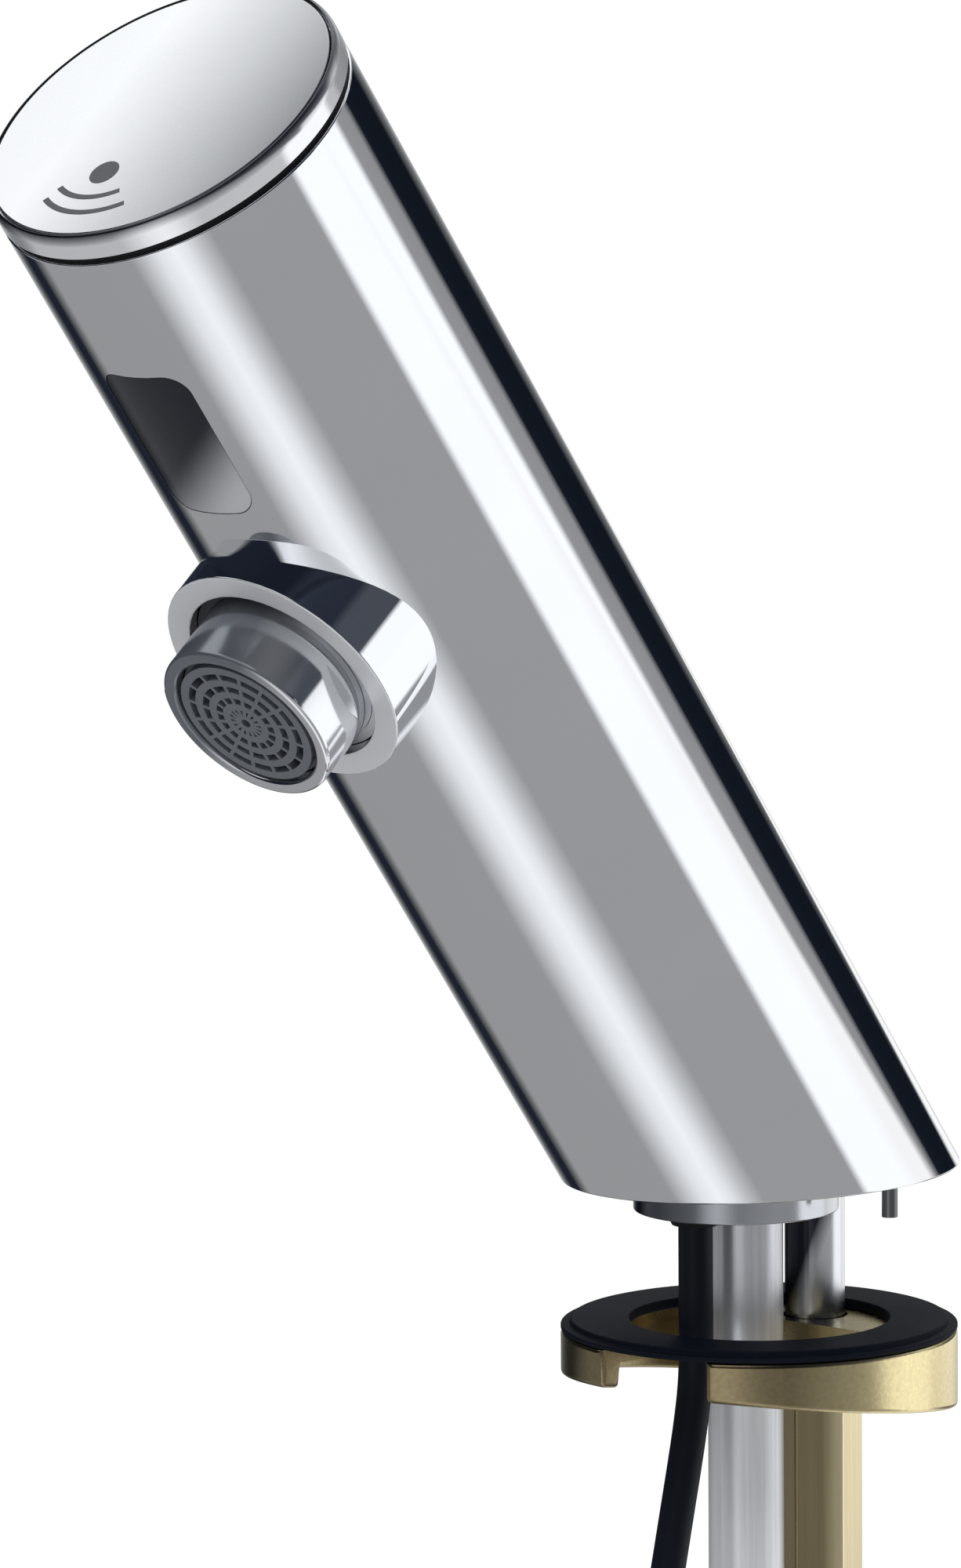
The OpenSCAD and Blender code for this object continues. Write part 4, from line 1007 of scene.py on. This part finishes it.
@dataclass
class Lead:
    """The black cable: free down to its hank, tied, with a round plug."""

    maker: Maker
    diameter: float = 4.6
    exit: Point = (0.0, -13.7, -5.5)
    route: tuple[Point, ...] = (
        (0, -13.7, -10), (0, -13.7, -16), (0, -13.7, -22), (0, -14, -27), (0, -14.9, -32),
        (0, -16.1, -37), (0, -17.4, -42), (0, -18.7, -47), (0, -20, -52), (0, -21.2, -56.5),
        (0, -22.2, -61), (0, -23, -65.5), (0, -23.6, -70), (0, -23.9, -74.5),
    )
    top: float = -79.0
    front: float = -24.0
    pitch: float = 5.6
    run: float = 75.0
    loops: int = 2
    fold_r: float = 13.8
    waist_x: float = 3.0
    waist_h: float = 30.0
    lead_in: float = 24.0
    tail: float = 20.0
    fine: int = 4
    points: int = 24
    facets: int = 4

    FINISHES: ClassVar[Dress] = {
        Finishes.BLACK: ("cable_tie",),
        Finishes.RUBBER: ("cable_plug",),
        Finishes.GOLD: ("plug_contacts",),
    }

    def _run_x(self, z: float) -> float:
        """Works out how far a run lies from the hank's middle.

        Args:
            z: the height.

        Returns:
            The distance, which is least at the waist.
        """
        waist = self.top - self.lead_in - self.run / 2
        if abs(z - waist) >= self.waist_h:
            return self.fold_r
        share = math.sin(math.radians(90 * (z - waist) / self.waist_h)) ** 2
        return self.waist_x + (self.fold_r - self.waist_x) * share

    def _layer(self, k: float) -> float:
        """Returns the place of the hank's layer from back to front."""
        return self.front - k * self.pitch

    @staticmethod
    def _ease(t: float) -> float:
        """Returns a smooth step from 0 to 1."""
        return t * t * (3 - 2 * t)

    def _free(self) -> list[Point]:
        """Works out the free stretch, with rounded corners between the route's points.

        Returns:
            The line's points, in millimetres.
        """
        points = [self.exit, *self.route, (0.0, self.front, self.top)]
        line: list[Point] = []
        for i in range(len(points) - 1):
            before = Vector(points[max(i - 1, 0)])
            start, end = Vector(points[i]), Vector(points[i + 1])
            after = Vector(points[min(i + 2, len(points) - 1)])
            first = end - before
            second = 2 * before - 5 * start + 4 * end - after
            third = 3 * start - before - 3 * end + after
            for k in range(self.fine):
                t = k / self.fine
                line.append(tuple(0.5 * (2 * start + first * t + second * t * t + third * t ** 3)))
        return line

    def _fold(self, side: int, k: int, middle: float) -> list[Point]:
        """Works out half a turn of the hank.

        Args:
            side: 1 for the lower fold, -1 for the upper one.
            k: its layer, from back to front.
            middle: the height of its middle.

        Returns:
            The fold's points, in millimetres.
        """
        turns = [math.pi * i / self.points for i in range(self.points)]
        reach = side * self.fold_r
        return [
            (reach * math.cos(a), self._layer(k), middle - reach * math.sin(a)) for a in turns
        ]

    def _hank(self) -> list[Point]:
        """Works out the hank: its loops round both folds and through the waist, and the tail.

        Returns:
            The line's points, in millimetres.
        """
        fold_top = self.top - self.lead_in
        fold_low = fold_top - self.run
        waist = fold_top - self.run / 2
        lead_len = self.top - waist - self.diameter
        tail_len = self.run / 2 + self.tail
        last = self._layer(self.loops)
        n = self.points
        line: list[Point] = [(0, self.front, self.top)]
        for i in range(n):
            z = self.top - self.diameter - i / n * lead_len
            line.append((self.waist_x * self._ease(i / n), self.front, z))
        for i in range(n // 2):
            z = waist - i / (n / 2) * self.run / 2
            line.append((self._run_x(z), self.front, z))
        for k in range(self.loops):
            line += self._fold(1, k, fold_low)
            for i in range(n):
                z = fold_low + i / n * self.run
                line.append((-self._run_x(z), self._layer(k + self._ease(i / n)), z))
            line += self._fold(-1, k + 1, fold_top)
            for i in range(n // 2 if k == self.loops - 1 else n):
                z = fold_top - i / n * self.run
                line.append((self._run_x(z), self._layer(k + 1), z))
        for i in range(n + 1):
            x = self.waist_x * (1 - self._ease(i / n))
            line.append((x, last, waist - i / n * tail_len))
        line.append((0, last, waist - tail_len - self.diameter))
        return line

    def build(self) -> None:
        line = [tuple(c * MM for c in p) for p in self._free() + self._hank()]
        curve = bpy.data.curves.new("cable", "CURVE")
        curve.dimensions = "3D"
        curve.bevel_depth = self.diameter / 2 * MM
        curve.bevel_resolution = self.facets
        curve.use_fill_caps = True
        spline = curve.splines.new("POLY")
        spline.points.add(len(line) - 1)
        for spot, place in zip(spline.points, line):
            spot.co = (*place, 1.0)
        spline.use_smooth = True
        curve.materials.append(self.maker.finishes.get(Finishes.CABLE))
        made = add("cable", curve)
        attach(made, ROOT)
        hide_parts("sensor_cable", "cable_hank")
        self.maker.dress(self.FINISHES)


@dataclass
class Studio:
    """The pale floor, the white surroundings and the soft light."""

    floor_z: float = -0.2305
    floor_size: float = 40.0
    floor_grey: Colour = (0.86, 0.86, 0.86)
    floor_glow: float = 1.1
    floor_share: float = 0.85
    lamps: tuple[tuple[str, Point, float, float], ...] = (
        ("key", (1.1, -0.6, 1.5), 0.9, 14.0),
        ("fill", (-1.3, -0.9, 0.9), 1.1, 5.0),
    )
    aim: Point = (0.0, -0.03, 0.03)
    dark: float = 0.12
    tints: tuple[Span, ...] = ((0.62, 0.965), (0.85, 0.98), (1.5, 1.0))
    white: Colour = (1.0, 1.0, 1.0)
    ambient: Colour = (0.62, 0.63, 0.65)
    low: Colour = (0.85, 0.86, 0.87)
    level: tuple[Span, ...] = (
        (-180, 0.30), (-168, 0.32), (-158, 0.85), (-146, 0.85), (-138, 0.03), (-100, 0.02),
        (60, 0.015), (108, 0.05), (118, 0.10), (120, 1.1), (146, 1.1), (156, 0.30), (180, 0.30),
    )
    raised: tuple[Span, ...] = (
        (-180, 0.30), (-168, 0.32), (-158, 0.85), (-146, 0.85), (-138, 0.02), (-90, 0.015),
        (60, 0.015), (100, 0.04), (122, 0.08), (140, 0.05), (150, 0.06), (158, 0.75), (168, 0.75),
        (174, 0.30), (180, 0.30),
    )
    overhead: tuple[Span, ...] = (
        (-180, 0.45), (-165, 1.3), (-100, 1.3), (-80, 0.3), (-30, 0.02), (100, 0.02),
        (140, 0.035), (150, 0.05), (160, 0.55), (180, 0.45),
    )
    bands: tuple[Span, ...] = (
        (-180, 0.010), (-163, 0.010), (-150, 0.16), (-138, 0.45), (-124, 0.62), (-114, 0.36),
        (-106, 0.12), (-98, 0.02), (-88, 0.02), (-82, 0.13), (-75, 0.325), (-9, 0.335),
        (-2, 0.54), (8, 0.85), (18, 1.0), (25, 0.88), (34, 0.58), (43, 0.345),
        (101.2, 0.345), (106.2, 1.12), (146.5, 1.12), (151.5, 0.32), (163, 0.30), (168.5, 0.012),
        (180, 0.010),
    )

    # Where one part of the studio gives way to the next: the edge and the width of each step
    to_raised: Span = (0.28, 0.05)
    to_overhead: Span = (0.65, 0.08)
    to_zenith: Span = (0.92, 0.04)
    to_level: Span = (0.0, 0.06)
    to_front: Span = (-0.42, 0.08)
    to_low: Span = (0.92, 0.06)
    to_ground: Span = (0.02, 0.02)
    to_back: Span = (0.60, 0.10)

    def _tint(self, value: float) -> Colour:
        """Returns a grey of the studio: navy where it is dark, cool where it is bright."""
        share = min(1.0, value / self.dark)
        return tuple(value * (low + (high - low) * share) for low, high in self.tints)

    def _reflections(self, shader: Shader) -> bpy.types.NodeSocket:
        """Returns the studio as bright metal sees it: soft boxes and dark flags beside the tap.

        Args:
            shader: the world's tree.

        Returns:
            The colour by direction.
        """
        way = shader.node("ShaderNodeTexCoord").outputs["Generated"]
        across = shader.dot(way, (1, 0, 0))
        ahead = shader.dot(way, OUT)
        along = shader.dot(way, UP)
        rise = shader.dot(way, (0, 0, 1))
        turn = across.turn(ahead) * (1 / (2 * math.pi)) + 0.5
        beside, level, raised, overhead = (
            shader.node(
                "ShaderNodeValToRGB",
                {"stops": [((a + 180) / 360, self._tint(v)) for a, v in stops]},
                {0: turn},
            ).outputs[0]
            for stops in (self.bands, self.level, self.raised, self.overhead)
        )
        above = shader.mix(rise.over(*self.to_raised), level, raised)
        above = shader.mix(rise.over(*self.to_overhead), above, overhead)
        above = shader.mix(along.over(*self.to_zenith), above, self.ambient)
        share = rise.over(*self.to_level) * along.over(*self.to_front)
        colour = shader.mix(share, beside, above)
        colour = shader.mix((0.0 - along).over(*self.to_low), colour, self.low)
        behind = (0.0 - rise).over(*self.to_ground) * (0.0 - ahead).over(*self.to_back)
        return shader.mix(behind, colour, self.white)

    def _world(self) -> None:
        """Makes the world: white behind, soft all round, banded in bright metal."""
        world = bpy.data.worlds.new("studio")
        bpy.context.scene.world = world
        world.use_nodes = True
        world.cycles.sampling_method = "NONE"
        shader = Shader(world.node_tree)
        path = shader.node("ShaderNodeLightPath")
        plain = shader.mix(path.outputs["Is Camera Ray"], self.ambient, self.white)
        plain = shader.mix(path.outputs["Is Transmission Ray"], plain, self.white)
        colour = shader.mix(path.outputs["Is Glossy Ray"], plain, self._reflections(shader))
        back = shader.node("ShaderNodeBackground", {}, {"Color": colour, "Strength": 1.0})
        shader.node("ShaderNodeOutputWorld", {}, {0: back.outputs[0]})

    def _floor(self) -> None:
        """Makes the pale floor: white to the camera, with a faint shadow, and clear from below."""
        form = bmesh.new()
        bmesh.ops.create_grid(
            form, x_segments=1, y_segments=1, size=self.floor_size / 2,
            matrix=Matrix.Translation((0, 0, self.floor_z)),
        )
        mesh = bpy.data.meshes.new("floor")
        form.to_mesh(mesh)
        form.free()
        material = bpy.data.materials.new("floor")
        material.use_nodes = True
        shader = Shader(material.node_tree)
        path = shader.node("ShaderNodeLightPath")
        matt = shader.node("ShaderNodeBsdfDiffuse", {}, {"Color": self.floor_grey})
        glow = shader.node(
            "ShaderNodeEmission", {}, {"Color": self.white, "Strength": self.floor_glow}
        )
        rays = ("Is Camera Ray", "Is Glossy Ray", "Is Transmission Ray")
        seen = sum(shader.signal(path, ray) for ray in rays).over(0.5, 1.0)
        both = shader.node(
            "ShaderNodeMixShader",
            {},
            {0: seen * self.floor_share, 1: matt.outputs[0], 2: glow.outputs[0]},
        )
        below = shader.node("ShaderNodeNewGeometry").outputs["Backfacing"]
        clear = shader.node("ShaderNodeBsdfTransparent", {}, {"Color": self.white})
        sided = shader.node(
            "ShaderNodeMixShader", {}, {0: below, 1: both.outputs[0], 2: clear.outputs[0]}
        )
        shader.node("ShaderNodeOutputMaterial", {}, {0: sided.outputs[0]})
        mesh.materials.append(material)
        floor = add("floor", mesh)
        floor.visible_glossy = False

    def _lamp(self, name: str, place: Point, size: float, watts: float) -> None:
        """Hangs a soft lamp that points at the tap.

        Args:
            name: the lamp's name.
            place: where it hangs, in metres.
            size: its width in metres.
            watts: its power.
        """
        light = bpy.data.lights.new(name, "AREA")
        light.shape = "SQUARE"
        light.size = size
        light.energy = watts
        lamp = add(name, light)
        lamp.location = place
        way = Vector(self.aim) - Vector(place)
        lamp.rotation_euler = way.to_track_quat("-Z", "Y").to_euler()
        lamp.visible_glossy = False

    def build(self) -> None:
        """Makes the world, the floor and the lamps."""
        self._world()
        self._floor()
        for lamp in self.lamps:
            self._lamp(*lamp)


@dataclass
class View:
    """The photograph's camera."""

    place: Point = (0.72761, -0.885533, 0.195902)
    yaw: float = 41.2442
    pitch: float = 7.19125
    roll: float = -0.41964
    lens: float = 202.30
    sensor: float = 36.0
    reach: float = 100.0

    def build(self) -> None:
        """Makes the camera and gives it to the scene."""
        yaw, pitch, roll = (math.radians(a) for a in (self.yaw, self.pitch, self.roll))
        turn = (
            Matrix.Rotation(yaw, 4, "Z") @ Matrix.Rotation(math.pi / 2 - pitch, 4, "X")
            @ Matrix.Rotation(roll, 4, "Z")
        )
        data = bpy.data.cameras.new("camera")
        data.sensor_fit = "VERTICAL"
        data.sensor_height = self.sensor
        data.lens = self.lens
        data.clip_end = self.reach
        camera = add("camera", data)
        camera.matrix_world = Matrix.Translation(self.place) @ turn
        bpy.context.scene.camera = camera


def main() -> None:
    """Builds the scene in order: camera and cable, then the tap, then the studio."""
    logging.basicConfig(level=logging.INFO, format="%(name)s: %(message)s")
    bpy.context.scene.view_settings.view_transform = "Standard"
    maker = Maker(Finishes())
    View().build()
    for part in (Lead, Body, Cap, Sensor, Valve, Aerator, ClampSet):
        part(maker).build()
    Studio().build()
    LOG.info("%d new pieces", maker.count)


if __name__ == "__main__":
    main()
